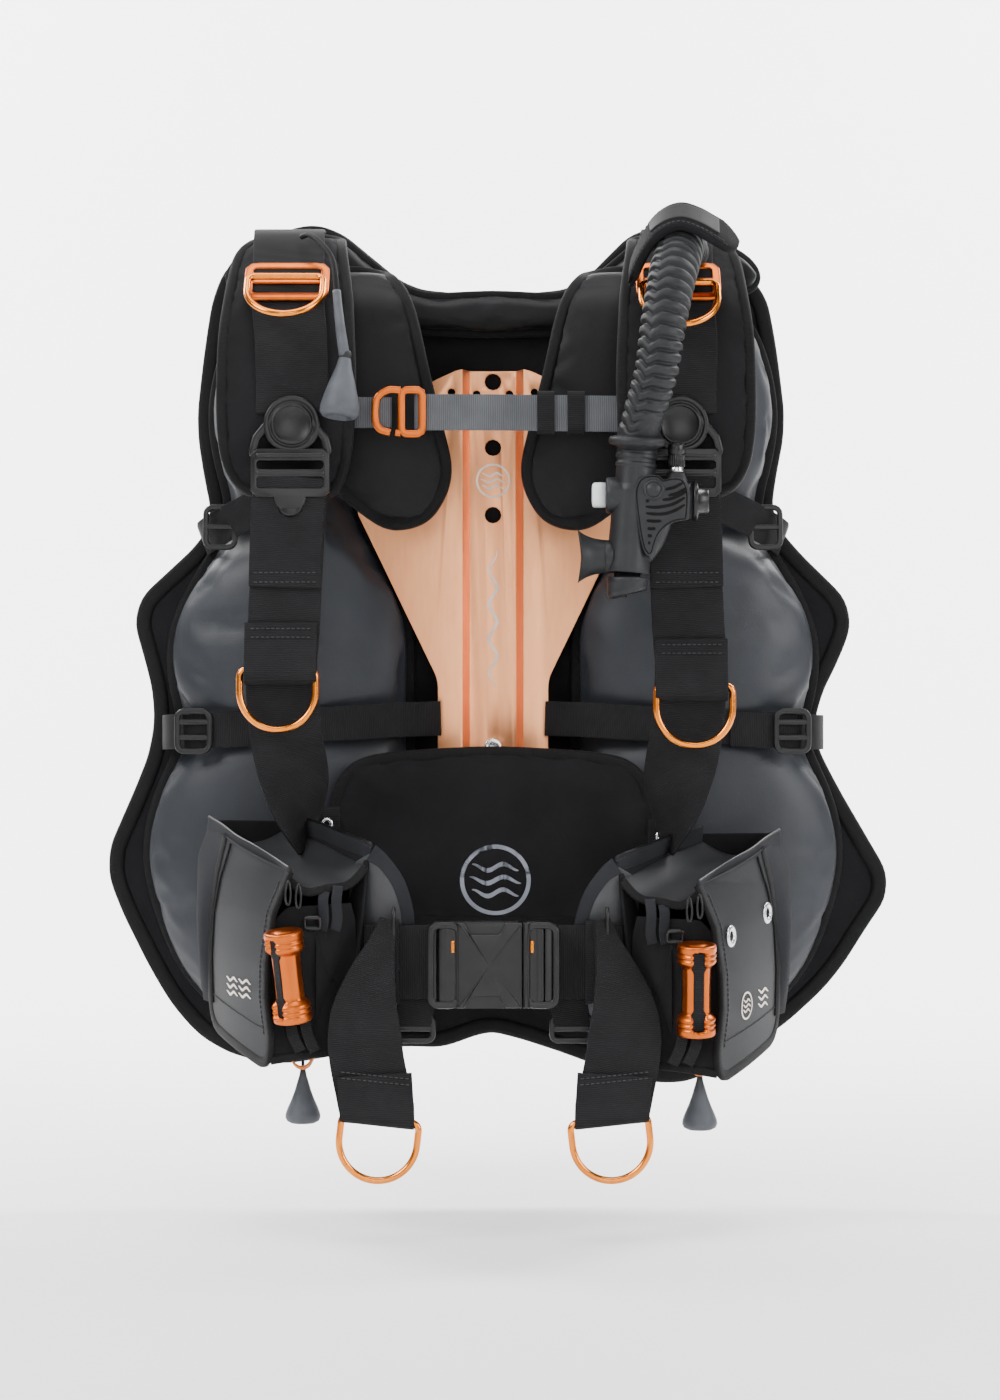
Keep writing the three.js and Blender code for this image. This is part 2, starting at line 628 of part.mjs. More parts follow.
// A dumbbell with a groove down one side, where the pouch's webbing runs through it.
function makeHandle() {
  const { h, endR, endH, waistR, grooveW, grooveDepth } = HANDLE;
  const half = h / 2;
  const profile = [
    [0, -half], [endR - 1.5, -half], [endR, -half + 1.5], [endR, -half + endH - 4], [waistR, -half + endH],
    [waistR, half - endH], [endR, half - endH + 4], [endR, half - 1.5], [endR - 1.5, half], [0, half],
  ].map(([r, z]) => new THREE.Vector2(r, z));
  const body = new THREE.LatheGeometry(profile, 20).rotateX(Math.PI / 2);
  const groove = box(endR - grooveDepth - 5, endR + 5, -grooveW / 2, grooveW / 2, -half + 4, half - 4);
  return cut(body, groove.rotateZ(-0.6));
}

// ------------------------------------------------------- dump valve controls

const DROP_PROFILE = [[0, 0], [3.5, 0], [4.5, -6], [8, -16], [12.3, -28], [11.5, -34], [7, -37], [0, -37]];
function makeDrop(scale = 1) {
  const profile = DROP_PROFILE.map(([r, z]) => new THREE.Vector2(r * scale, z * scale));
  return new THREE.LatheGeometry(profile.reverse(), 14).rotateX(Math.PI / 2);
}
const LOWER_TOGGLE = { x: 129, y: POCKET_FACE + 29, z: POCKET_FLOOR - 19 };

const SHOULDER_TOGGLE = { x: -101, y: -161, z: 182 };
const DUMP_CORD_R = 2;
const DUMP_CORD = [
  [-134, -99, 275], [-128, -114, 274], [-119, -129, 266], [-111, -141, 254], [-108, -150, 240],
  [-106.5, -156, 225], [-105, -160, 211], [-103, -161, 196], [-101.3, -161, 184.5],
];
function makeDumpCord() {
  const curve = new THREE.CatmullRomCurve3(DUMP_CORD.map((p) => new THREE.Vector3(...p)));
  const section = new THREE.Shape();
  section.absarc(0, 0, DUMP_CORD_R, 0, 2 * Math.PI, false);
  return new THREE.ExtrudeGeometry(section, {
    steps: 14, extrudePath: curve, curveSegments: 4, bevelEnabled: false,
  });
}

// ------------------------------------------------------------------- sternum

const STERNUM = { y: -125, z: 149, hinge: 90, strapT: 2 };
const HOOK = { x0: -84, x1: -46, h: NARROW_WEB + 11, rim: 5, slots: [[-79, -67], [-61, -51]] };
function makeSternumStrap() {
  const { y, z, hinge, strapT } = STERNUM;
  const half = NARROW_WEB / 2;
  return box(HOOK.x1 + 1, hinge, y - strapT / 2, y + strapT / 2, z - half, z + half);
}
function makeSternumHook() {
  const { x0, x1, h, rim, slots } = HOOK;
  const { y, z, strapT } = STERNUM;
  const shape = rounded(rectangle(x0, x1, z - h / 2, z + h / 2), 5);
  for (const [left, right] of slots) {
    shape.holes.push(rounded(rectangle(left, right, z - h / 2 + rim, z + h / 2 - rim), 2));
  }
  return front(shape, y - strapT / 2 - GAP, FRAME_T + 1);
}
const ANCHOR_END = -97.5;
function makeSternumAnchor() {
  const { y, z, strapT } = STERNUM;
  const half = NARROW_WEB / 2 - 2;
  return box(ANCHOR_END, HOOK.x0 + 12, y - strapT / 2, y + strapT / 2, z - half, z + half);
}

// ------------------------------------------------------------------ inflator

const HOSE_LINE = [
  HOSE_TOP, [149, -148, 256], [138, -172, 228], [124, -184, 196], [111, -179, 158],
  [101, INFLATOR_Y - 2, 140], [99, INFLATOR_Y, 131],
];
const HOSE_RIBS = 9;        // a plain stand-in for many more
const RIB_DEPTH = 0.8;
function makeHose() {
  const radiusAt = (t) => {
    const taper = THREE.MathUtils.lerp(HOSE_R_TOP, HOSE_R_END, t);
    const dome = Math.min(1, Math.sqrt(Math.max(0.02, t) / 0.1));
    const inValley = Math.round(t * HOSE_RIBS * 2) % 2;
    return (taper - RIB_DEPTH * inValley) * dome;
  };
  return bentTube(HOSE_LINE, radiusAt, 2 * HOSE_RIBS, 14);
}

const BODY = { top: 126.7, topX: 98, foot: 36, footX: 93, topR: 13.5 };
const MOUTHPIECE_L = 16.5;
const MOUTHPIECE_END = BODY.footX - INFLATOR_R - 2.5;
const MOUTHPIECE = { x0: MOUTHPIECE_END - MOUTHPIECE_L, x1: MOUTHPIECE_END, z: 49, lipR: 18, lipT: 5.5 };
const ELBOW_R = 12;
const VALVE = { top: [114, 106], foot: [108, 62], rTop: 11.5, rFoot: 9 };   // X and Z
const NIPPLE = { x: 127.5, top: 125, foot: 106, r: 6.6 };
const BUTTON = { x0: 69, x1: 81, z: 89, r: 6.8 };
function makeInflator() {
  const y = INFLATOR_Y;
  const tube = bar([BODY.topX, y, BODY.top], [BODY.footX, y, BODY.foot], BODY.topR, INFLATOR_R, 16);
  const clamp = bar([BODY.topX, y, BODY.top], [BODY.topX - 0.8, y, BODY.top - 15], 17, 16, 16);
  const elbow = bar([BODY.footX, y, MOUTHPIECE.z], [MOUTHPIECE.x1 + 0.5, y, MOUTHPIECE.z], ELBOW_R, ELBOW_R, 14);
  const [valveTopX, valveTop] = VALVE.top;
  const [valveFootX, valveFoot] = VALVE.foot;
  const valve = bar([valveTopX, y, valveTop], [valveFootX, y, valveFoot], VALVE.rTop, VALVE.rFoot, 14);
  const bridge = box(BODY.footX + 1, valveTopX + 4, y - 9, y + 9, valveFoot + 2, valveTop - 8);
  const nipple = bar([NIPPLE.x - 0.5, y, NIPPLE.foot + 2], [valveTopX - 2, y, valveTop - 16], 6, 6, 10);
  const cap = bar([NIPPLE.x, y, NIPPLE.foot], [NIPPLE.x, y, NIPPLE.top], NIPPLE.r + 0.6, NIPPLE.r, 12);
  const wellR = BUTTON.r + 0.4;
  const well = bar([BUTTON.x0 + 6, y, BUTTON.z], [BUTTON.x1 + BUTTON_TRAVEL + 1.5, y, BUTTON.z], wellR, wellR, 14);
  return cut(join(tube, clamp, elbow, valve, bridge, nipple, cap), well);
}
function makeMouthpiece() {
  const { x0, x1, z, lipR, lipT } = MOUTHPIECE;
  const flare = bar([x1, INFLATOR_Y, z], [x0 + lipT - 0.5, INFLATOR_Y, z], 13, 15, 14);
  const lip = bar([x0 + lipT, INFLATOR_Y, z], [x0, INFLATOR_Y, z], lipR, lipR, 14);
  const bore = bar([x0 - 1, INFLATOR_Y, z], [x1 - 3, INFLATOR_Y, z], 10, 8, 12);
  return cut(join(flare, lip), bore);
}
function makeInflateButton() {
  return bar([BUTTON.x0, INFLATOR_Y, BUTTON.z], [BUTTON.x1, INFLATOR_Y, BUTTON.z], BUTTON.r, BUTTON.r, 14);
}
const DEFLATE_H = 15;
function makeDeflateButton() {
  const top = BODY.foot - BUTTON_TRAVEL - GAP;
  const x = BODY.footX - 0.3;
  return bar([x, INFLATOR_Y, top], [x - 0.9, INFLATOR_Y, top - DEFLATE_H], INFLATOR_R, BODY.topR, 16);
}

const WRAP = { inner: HOSE_R_TOP + 3, t: 5, y0: -134, y1: -106 };
function makeHoseWrap() {
  const [x, , z] = HOSE_TOP;
  const arch = new THREE.Shape();
  arch.absarc(0, 0, WRAP.inner + WRAP.t, 0, Math.PI, false);
  arch.absarc(0, 0, WRAP.inner, Math.PI, 0, true);
  arch.closePath();
  return front(arch, 0, WRAP.y1 - WRAP.y0, { segments: 8 }).translate(x, WRAP.y1, z);
}

// --------------------------------------------------------- cylinder fixtures

const BAND_FRONT = SHELL_BACK + GAP;
function stadium(w, d) {
  const r = d / 2;
  const shape = new THREE.Shape();
  shape.moveTo(w / 2 - r, -r);
  shape.absarc(w / 2 - r, 0, r, -Math.PI / 2, Math.PI / 2, false);
  shape.absarc(r - w / 2, 0, r, Math.PI / 2, 1.5 * Math.PI, false);
  shape.closePath();
  return shape;
}
function makeCamBand() {
  const loop = stadium(BAND_LOOP_W, BAND_LOOP_D);
  loop.holes.push(new THREE.Path(stadium(BAND_LOOP_W - 2 * WEB_T, BAND_LOOP_D - 2 * WEB_T).getPoints(6)));
  const band = plan(loop, BAND_Z - WEB / 2, BAND_Z + WEB / 2);
  return band.translate(0, BAND_FRONT + BAND_LOOP_D / 2, 0);
}
const BAND_REAR = BAND_FRONT + BAND_LOOP_D;
const CAM = { x0: -22, x1: 42, baseT: 6, leverT: 6, hingeX: 34, tip: 6, margin: 3 };
function makeCamBuckle() {
  const half = WEB / 2 + CAM.margin;
  const outline = rounded(rectangle(CAM.x0, CAM.x1, BAND_Z - half, BAND_Z + half), 4);
  return front(outline, BAND_REAR + GAP + CAM.baseT, CAM.baseT);
}
function makeCamLever() {
  const y = BAND_REAR + CAM.baseT + 2 * GAP + CAM.leverT / 2;
  const r = CAM.leverT / 2;
  const half = WEB / 2;
  const arm = front(
    rounded(rectangle(CAM.x0 - CAM.tip, CAM.hingeX, BAND_Z - half, BAND_Z + half), 4), y + r, CAM.leverT,
  );
  const knuckle = bar([CAM.hingeX, y, BAND_Z - half], [CAM.hingeX, y, BAND_Z + half], r, r, 12);
  return join(arm, knuckle);
}
function makeCylinderPad() {
  const { w, low, high } = CYLINDER_PAD;
  const pad = front(rounded(rectangle(-w / 2, w / 2, low, high), 10, 2), 0, PAD_T, { segments: 3 });
  const groove = box(
    -w, w, BAND_FRONT - 5, BAND_FRONT + WEB_T + GAP,
    BAND_Z - WEB / 2 - POUCH_GAP, BAND_Z + WEB / 2 + POUCH_GAP,
  );
  return cut(pad, groove);
}

function makeLumbar() {
  const half = [[112, -196], [112, -122], [105, -102], [84, -92]];
  const outline = [[0, -88], ...half.slice().reverse(), [100, -208], [-100, -208], ...mirrored(half).reverse()];
  return front(rounded(outline, 8), LUMBAR_BACK, LUMBAR_T, { bevel: 4 });
}

// ---------------------------------------------------------- put it together

piece('cylinder_pad', makeCylinderPad(), FINISH.rubber);
piece('collar', makeCollar(), FINISH.padding);
piece('lumbar_pad', makeLumbar(), FINISH.padding);

// Where the slide sits on the slope of the shoulder, and the ring under it.
const SLIDE_AT = { x: 143, y: -124, z: 240 };
const RING_BAR_AT = { y: -131, z: 244 };
const CHEST_RING_AT = { x: 148, y: -146, z: -30 };
const HANDLE_AT = {
  x: (POUCH.x0 + POUCH.x1) / 2, y: POUCH.front - HANDLE.endR - POUCH_GAP, z: (POUCH.low + POUCH.high) / 2 + 1.5,
};

for (const where of SIDES) {
  const wing = sideGroup(where);
  piece(`wing_lobe_${where.name}`, makeLobe(), FINISH.lobe, wing);
  piece(`lower_strap_${where.name}`, makeLowerStrap(), FINISH.webbing, wing);
  piece(`lower_slider_${where.name}`, makeLowerSlider(), FINISH.plastic, wing);

  const shoulder = sideGroup(where, where.shoulder);
  piece(`shoulder_pad_${where.name}`, sidePad(SHOULDER_OUTLINE, SHOULDER_LINE, SHOULDER_PAD_T, 12),
    FINISH.padding, shoulder);
  piece(`chest_pad_${where.name}`, sidePad(CHEST_OUTLINE, CHEST_LINE, CHEST_PAD_T, 8),
    FINISH.padding, shoulder);
  piece(`chest_webbing_${where.name}`, makeChestWebbing(), FINISH.webbing, shoulder);
  piece(`swivel_buckle_${where.name}`, makeSwivel(), FINISH.plastic, shoulder);
  piece(`ladder_lock_${where.name}`, makeLadderLock(), FINISH.plastic, shoulder);

  const slides = sideGroup(where, where.slide);
  const slide = piece(
    `strap_slide_${where.name}`, frame(SLIDE_W, SLIDE_H, SLIDE_RAIL, FRAME_T), FINISH.anodised, slides,
  );
  slide.position.set(SLIDE_AT.x, SLIDE_AT.y, SLIDE_AT.z);
  slide.rotation.x = -SHOULDER_TILT;
  const ring = piece(`shoulder_ring_${where.name}`, makeRing(), FINISH.anodised, slides);
  ring.position.set(SLIDE_AT.x, RING_BAR_AT.y, RING_BAR_AT.z - where.ringDrop);
  ring.rotation.x = -where.ringTilt;

  const chest = sideGroup(where, where.shoulder, where.ring);
  const chestRing = piece(`chest_ring_${where.name}`, makeRing(), FINISH.anodised, chest);
  chestRing.position.set(CHEST_RING_AT.x, CHEST_RING_AT.y, CHEST_RING_AT.z);

  const waist = sideGroup(where);
  piece(`waist_belt_${where.name}`, makeBelt(), FINISH.webbing, waist);
  piece(`belt_loop_${where.name}`, makeBeltLoop(), FINISH.webbing, waist);

  const tails = sideGroup(where, where.tail);
  piece(`waist_tail_${where.name}`, makeTail(), FINISH.webbing, tails);
  const tailRing = piece(`tail_ring_${where.name}`, makeRing(), FINISH.anodised, tails);
  tailRing.position.set(TAIL_RING.x, TAIL_RING.y, TAIL_RING.z);
  tailRing.rotation.y = TAIL_RING.tilt;

  const pocket = sideGroup(where, where.pocket, where.pocketDrop);
  piece(`pocket_${where.name}`, makePocket(), FINISH.pocket, pocket);
  piece(`weight_pouch_${where.name}`, makePouch(), FINISH.padding, pocket);
  const handle = piece(`pouch_handle_${where.name}`, makeHandle(), FINISH.anodised, pocket);
  handle.position.set(HANDLE_AT.x, HANDLE_AT.y, HANDLE_AT.z);

  const toggles = sideGroup(where, where.toggle, where.pocketDrop / 2);
  const toggle = piece(`lower_toggle_${where.name}`, makeDrop(), FINISH.greyRubber, toggles);
  toggle.position.set(LOWER_TOGGLE.x, LOWER_TOGGLE.y, LOWER_TOGGLE.z);
}

piece('buckle_socket', makeBuckleSocket(), FINISH.plastic);
piece('buckle_plug', makeBucklePlug(), FINISH.plastic);

const dumpToggle = piece('shoulder_toggle', makeDrop(1.1), FINISH.greyRubber);
dumpToggle.position.set(SHOULDER_TOGGLE.x, SHOULDER_TOGGLE.y, SHOULDER_TOGGLE.z);
piece('shoulder_dump_cord', makeDumpCord(), FINISH.webbing);

piece('sternum_strap', makeSternumStrap(), FINISH.greyWebbing);
piece('sternum_hook', makeSternumHook(), FINISH.anodised);
piece('sternum_anchor', makeSternumAnchor(), FINISH.greyWebbing);

piece('hose', makeHose(), FINISH.rubber);
piece('hose_wrap', makeHoseWrap(), FINISH.webbing);
piece('inflator_body', makeInflator(), FINISH.plastic);
piece('mouthpiece', makeMouthpiece(), FINISH.rubber);
piece('inflate_button', makeInflateButton(), FINISH.buttonGrey);
piece('deflate_button', makeDeflateButton(), FINISH.plastic);

piece('cam_band', makeCamBand(), FINISH.webbing);
piece('cam_buckle', makeCamBuckle(), FINISH.plastic);
piece('cam_lever', makeCamLever(), FINISH.plastic);

export default vest;
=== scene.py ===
# %% [markdown]
# # A buoyancy compensator vest
# A diver's backplate harness with an inflatable wing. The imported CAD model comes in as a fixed
# frame, and this lesson dresses it: padded fabric, webbing, cord, metal and moulded plastic.
# The wearer faces -Y, the wearer's left is at +X, and every length is in metres.

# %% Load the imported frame
import json
import math

import bmesh
import bpy
import numpy as np
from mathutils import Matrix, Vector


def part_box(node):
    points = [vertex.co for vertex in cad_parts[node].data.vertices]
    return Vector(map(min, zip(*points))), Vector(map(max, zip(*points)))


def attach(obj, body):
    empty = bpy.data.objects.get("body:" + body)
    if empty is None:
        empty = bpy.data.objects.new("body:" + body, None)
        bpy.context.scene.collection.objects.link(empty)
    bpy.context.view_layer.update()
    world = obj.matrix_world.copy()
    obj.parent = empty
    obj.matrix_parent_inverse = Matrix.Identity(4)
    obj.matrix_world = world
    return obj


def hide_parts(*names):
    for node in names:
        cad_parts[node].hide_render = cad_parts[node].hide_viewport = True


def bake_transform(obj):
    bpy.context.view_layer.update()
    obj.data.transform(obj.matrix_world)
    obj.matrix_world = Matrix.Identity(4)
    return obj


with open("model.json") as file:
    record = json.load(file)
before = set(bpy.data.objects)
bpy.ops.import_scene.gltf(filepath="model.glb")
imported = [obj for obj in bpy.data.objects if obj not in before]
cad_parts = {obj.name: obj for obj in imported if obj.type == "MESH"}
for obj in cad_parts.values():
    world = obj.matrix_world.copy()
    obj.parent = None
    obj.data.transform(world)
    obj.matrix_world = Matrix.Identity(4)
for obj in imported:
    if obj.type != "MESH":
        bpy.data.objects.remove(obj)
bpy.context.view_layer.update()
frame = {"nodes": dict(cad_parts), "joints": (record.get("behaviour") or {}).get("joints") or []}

NODES = frame["nodes"]
MM = 0.001
SIDES = {"right": -1, "left": 1}


# %% [markdown]
# ## The camera
# A product like this is shot square on from a little over two metres, with a long lens, so that
# the shoulders aren't much larger than the back. The camera stands level with the middle of the vest.

# %% Camera
CAMERA_AT = (0.0051, -2.330, -0.0507)
LENS = 114.26
SENSOR = 36.0


def make_camera():
    """A level camera that looks along +Y."""
    data = bpy.data.cameras.new("camera")
    data.lens, data.sensor_width, data.sensor_fit = LENS, SENSOR, "HORIZONTAL"
    data.clip_end = 20
    camera = bpy.data.objects.new("camera", data)
    camera.location = CAMERA_AT
    camera.rotation_euler = (math.pi / 2, 0, 0)
    bpy.context.scene.collection.objects.link(camera)
    bpy.context.scene.camera = camera


make_camera()
print("camera", LENS, "mm lens")


# %% [markdown]
# ## Surfaces from arrays
# Every new piece is a surface: a function of two parameters worked out on a grid of points. Most
# are a section carried along a path. A smooth path through a few points is enough to place a
# strap, a hose or a wire, and the grid gives each surface a map of itself in metres, which the
# weave and ribs of the fabrics follow.

# %% Paths and grids
def path(points, count, closed=False):
    """Catmull-Rom curve through the points in millimetres, at even steps of arc length, in metres.

    Between b and c, with neighbours a and d, the point at f is half of
    2b + (c - a) f + (2a - 5b + 4c - d) f^2 + (3b - a - 3c + d) f^3.
    """
    p = np.asarray(points, float) * MM
    ends = (p[-1:], p[:2]) if closed else (2 * p[:1] - p[1:2], 2 * p[-1:] - p[-2:-1])
    p = np.vstack([ends[0], p, ends[1]])
    t = np.linspace(0, len(p) - 3 - 1e-9, 24 * len(p))
    i = t.astype(int)
    f = (t - i)[:, None]
    a, b, c, d = (p[i + k] for k in range(4))
    q = (2 * b + (c - a) * f + (2 * a - 5 * b + 4 * c - d) * f**2 + (3 * b - a - 3 * c + d) * f**3) / 2
    return respaced(q, count + closed)[: count + 1 - closed if closed else None][:count]


def respaced(points, count):
    """The same line with points at even steps of its length."""
    run = lengths(points)
    wanted = np.linspace(0, run[-1], count)
    return np.stack([np.interp(wanted, run, points[:, k]) for k in range(points.shape[1])], 1)


def lengths(points):
    """The distance along a line of points, from its first."""
    steps = np.linalg.norm(np.diff(points, axis=0), axis=1)
    return np.concatenate([[0], np.cumsum(steps)])


def unit(v):
    """Vectors of length one."""
    return v / np.maximum(np.linalg.norm(v, axis=-1, keepdims=True), 1e-12)


def make_piece(name, points, faces, uv=None, smooth=True, marks=None):
    """A mesh object from arrays; uv holds one pair for each corner, and marks says what is sewn."""
    mesh = bpy.data.meshes.new(name)
    mesh.from_pydata(points, [], faces)
    if marks is not None:
        mesh.attributes.new("sewn", "FLOAT", "POINT").data.foreach_set("value", marks.ravel())
    if uv is not None:
        mesh.uv_layers.new(name="metres").data.foreach_set("uv", np.asarray(uv, float).ravel())
    tidy = bmesh.new()
    tidy.from_mesh(mesh)
    bmesh.ops.remove_doubles(tidy, verts=tidy.verts, dist=1e-6)
    bmesh.ops.dissolve_degenerate(tidy, edges=tidy.edges, dist=1e-7)
    bmesh.ops.recalc_face_normals(tidy, faces=tidy.faces)
    tidy.to_mesh(mesh)
    tidy.free()
    mesh.polygons.foreach_set("use_smooth", np.full(len(mesh.polygons), smooth))
    piece = bpy.data.objects.new(name, mesh)
    bpy.context.scene.collection.objects.link(piece)
    return piece


def surface(name, points, wrap=(False, False), uv=None, smooth=True, marks=None):
    """A piece from an (n, m, 3) grid of points, with a face between each four neighbours."""
    n, m = points.shape[:2]
    index = np.arange(n * m).reshape(n, m)
    if uv is None:
        down = np.concatenate([[0], np.cumsum(np.linalg.norm(np.diff(points, axis=0), axis=2).mean(1))])
        over = np.concatenate([[0], np.cumsum(np.linalg.norm(np.diff(points, axis=1), axis=2).max(0))])
        uv = np.stack(np.broadcast_arrays(over[None, :], down[:, None]), -1)
    if wrap[0]:
        index = np.vstack([index, index[:1]])
        uv = np.vstack([uv, 2 * uv[-1:] - uv[-2:-1]])
    if wrap[1]:
        index = np.hstack([index, index[:, :1]])
        uv = np.hstack([uv, 2 * uv[:, -1:] - uv[:, -2:-1]])
    corners = ((slice(None, -1), slice(None, -1)), (slice(1, None), slice(None, -1)),
               (slice(1, None), slice(1, None)), (slice(None, -1), slice(1, None)))
    faces = np.stack([index[c] for c in corners], -1).reshape(-1, 4)
    face_uv = np.stack([uv[c] for c in corners], -2).reshape(-1, 2)
    return make_piece(name, points.reshape(-1, 3), faces.tolist(), face_uv, smooth, marks)


def sweep(name, line, across, section, closed=False, smooth=True):
    """A section carried along a line: point = line + across * s_x + normal * s_y.

    across is made square to the line, and normal = tangent x across. section is (m, 2), or
    (n, m, 2) where it changes on the way. Open ends are closed on their middle.
    """
    ahead = np.roll(line, -1, 0) - np.roll(line, 1, 0) if closed else np.gradient(line, axis=0)
    tangent = unit(ahead)
    across = np.broadcast_to(across, line.shape)
    across = unit(across - (across * tangent).sum(1, keepdims=True) * tangent)
    normal = np.cross(tangent, across)
    section = np.broadcast_to(section, (len(line), *np.shape(section)[-2:]))
    points = line[:, None] + across[:, None] * section[..., :1] + normal[:, None] * section[..., 1:]
    if not closed:
        middle = points.mean(1, keepdims=True)
        flat = [np.broadcast_to(middle[k], points[k].shape)[None] for k in (0, -1)]
        points = np.concatenate([flat[0], points, flat[1]])
    return surface(name, points, wrap=(closed, True), smooth=smooth)


def oval(width, height, power=2.0, count=24):
    """A closed section: |x / a|^p + |y / b|^p = 1. A power of 2 is an ellipse, 8 nearly a box."""
    turn = np.linspace(0, 2 * np.pi, count, endpoint=False)
    c, s = np.cos(turn), np.sin(turn)
    ring = np.stack([np.sign(c) * np.abs(c) ** (2 / power), np.sign(s) * np.abs(s) ** (2 / power)], 1)
    return ring * (width / 2, height / 2)


def tube(name, line, radius, sides=20, closed=False, across=(0.31, 0.17, 0.93)):
    """A round section whose radius may change along the line."""
    ring = oval(2, 2, count=sides)
    radius = np.broadcast_to(radius, len(line))
    return sweep(name, line, np.array(across), ring * radius[:, None, None], closed)


def strap(name, line, across, width, thick, closed=False):
    """Flat webbing: a nearly rectangular section, with width along across."""
    width = np.broadcast_to(width, len(line))[:, None, None]
    thick = np.broadcast_to(thick, len(line))[:, None, None]
    section = oval(2, 2, power=9, count=40) * np.concatenate([width / 2, thick / 2], 2)
    return sweep(name, line, across, section, closed)


def lathe(name, profile, at, axis=(0, 0, 1), sides=40):
    """A profile of (radius, height) in millimetres turned about an axis through a point."""
    axis = unit(np.array(axis, float))
    helper = np.array((1.0, 0, 0)) if abs(axis[0]) < 0.9 else np.array((0, 1.0, 0))
    e1 = unit(np.cross(axis, helper))
    e2 = np.cross(axis, e1)
    turn = np.linspace(0, 2 * np.pi, sides, endpoint=False)[None, :, None]
    r, h = (np.asarray(profile, float) * MM).T[:, :, None, None]
    points = np.array(at) + axis * h + r * (np.cos(turn) * e1 + np.sin(turn) * e2)
    return surface(name, points, wrap=(False, True))


def edge_loop(width, height, corner, count=80):
    """A rounded rectangle about the origin as (count, 2), for frames and motifs."""
    turn = np.linspace(0, 2 * np.pi, 4 * count, endpoint=False)
    c, s = np.cos(turn), np.sin(turn)
    middle = np.stack([np.sign(c) * (width / 2 - corner), np.sign(s) * (height / 2 - corner)], 1)
    ring = middle + corner * np.stack([c, s], 1)
    return respaced(np.vstack([ring, ring[:1]]), count + 1)[:-1]


def into_space(flat, at, right=(1, 0, 0), up=(0, 0, 1)):
    """Points of a drawing (x, y) put on a plane through a point."""
    flat = np.asarray(flat, float)
    return np.array(at) + flat[:, :1] * np.array(right, float) + flat[:, 1:] * np.array(up, float)


def mm(*values):
    """Millimetres as an array in metres."""
    return np.array(values, float) * MM


def dress(piece, body, slot, finish, *nodes):
    """Says what a piece moves with, its finish and the CAD nodes it stands for; slot is not used."""
    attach(piece, body)
    if nodes:
        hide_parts(*nodes)
    piece.data.materials.clear()
    piece.data.materials.append(finish)
    return piece


# %% [markdown]
# ## Shader maths as sums
# A finish is a small tree of nodes. Wrapping a socket in a class that knows + - * / lets the
# maths be read as a formula, and one method adds every other kind of node.

# %% Values and finishes
class Value:
    """One number in a node tree."""

    def __init__(self, tree, socket):
        self.tree, self.socket = tree, socket

    def math(self, operation, *others, clamp=False):
        node = add(self.tree, "ShaderNodeMath", {"operation": operation, "use_clamp": clamp},
                   dict(enumerate((self, *others))))
        return Value(self.tree, node.outputs[0])

    def __add__(self, other):
        return self.math("ADD", other)

    def __mul__(self, other):
        return self.math("MULTIPLY", other)

    def __sub__(self, other):
        return self.math("SUBTRACT", other)

    def __rsub__(self, other):
        return self * -1 + other

    def __truediv__(self, other):
        return self.math("DIVIDE", other)

    def __pow__(self, other):
        return self.math("POWER", other)

    __radd__, __rmul__ = __add__, __mul__

    def sine(self, pitch):
        """A wave from 0 to 1 that repeats every pitch."""
        return (self * (2 * math.pi / pitch)).math("SINE") * 0.5 + 0.5

    def between(self, low, high):
        """0 below low, 1 above high, and a straight rise between."""
        return ((self - low) / (high - low)).math("ADD", 0.0, clamp=True)


def add(tree, kind, settings=None, sockets=None):
    """Adds a node: first its settings, then each socket's value, Value or link."""
    node = tree.nodes.new(kind)
    for key, value in (settings or {}).items():
        setattr(node, key, value)
    for key, value in (sockets or {}).items():
        value = getattr(value, "socket", value)
        if isinstance(value, bpy.types.NodeSocket):
            tree.links.new(value, node.inputs[key])
        else:
            node.inputs[key].default_value = value
    return node


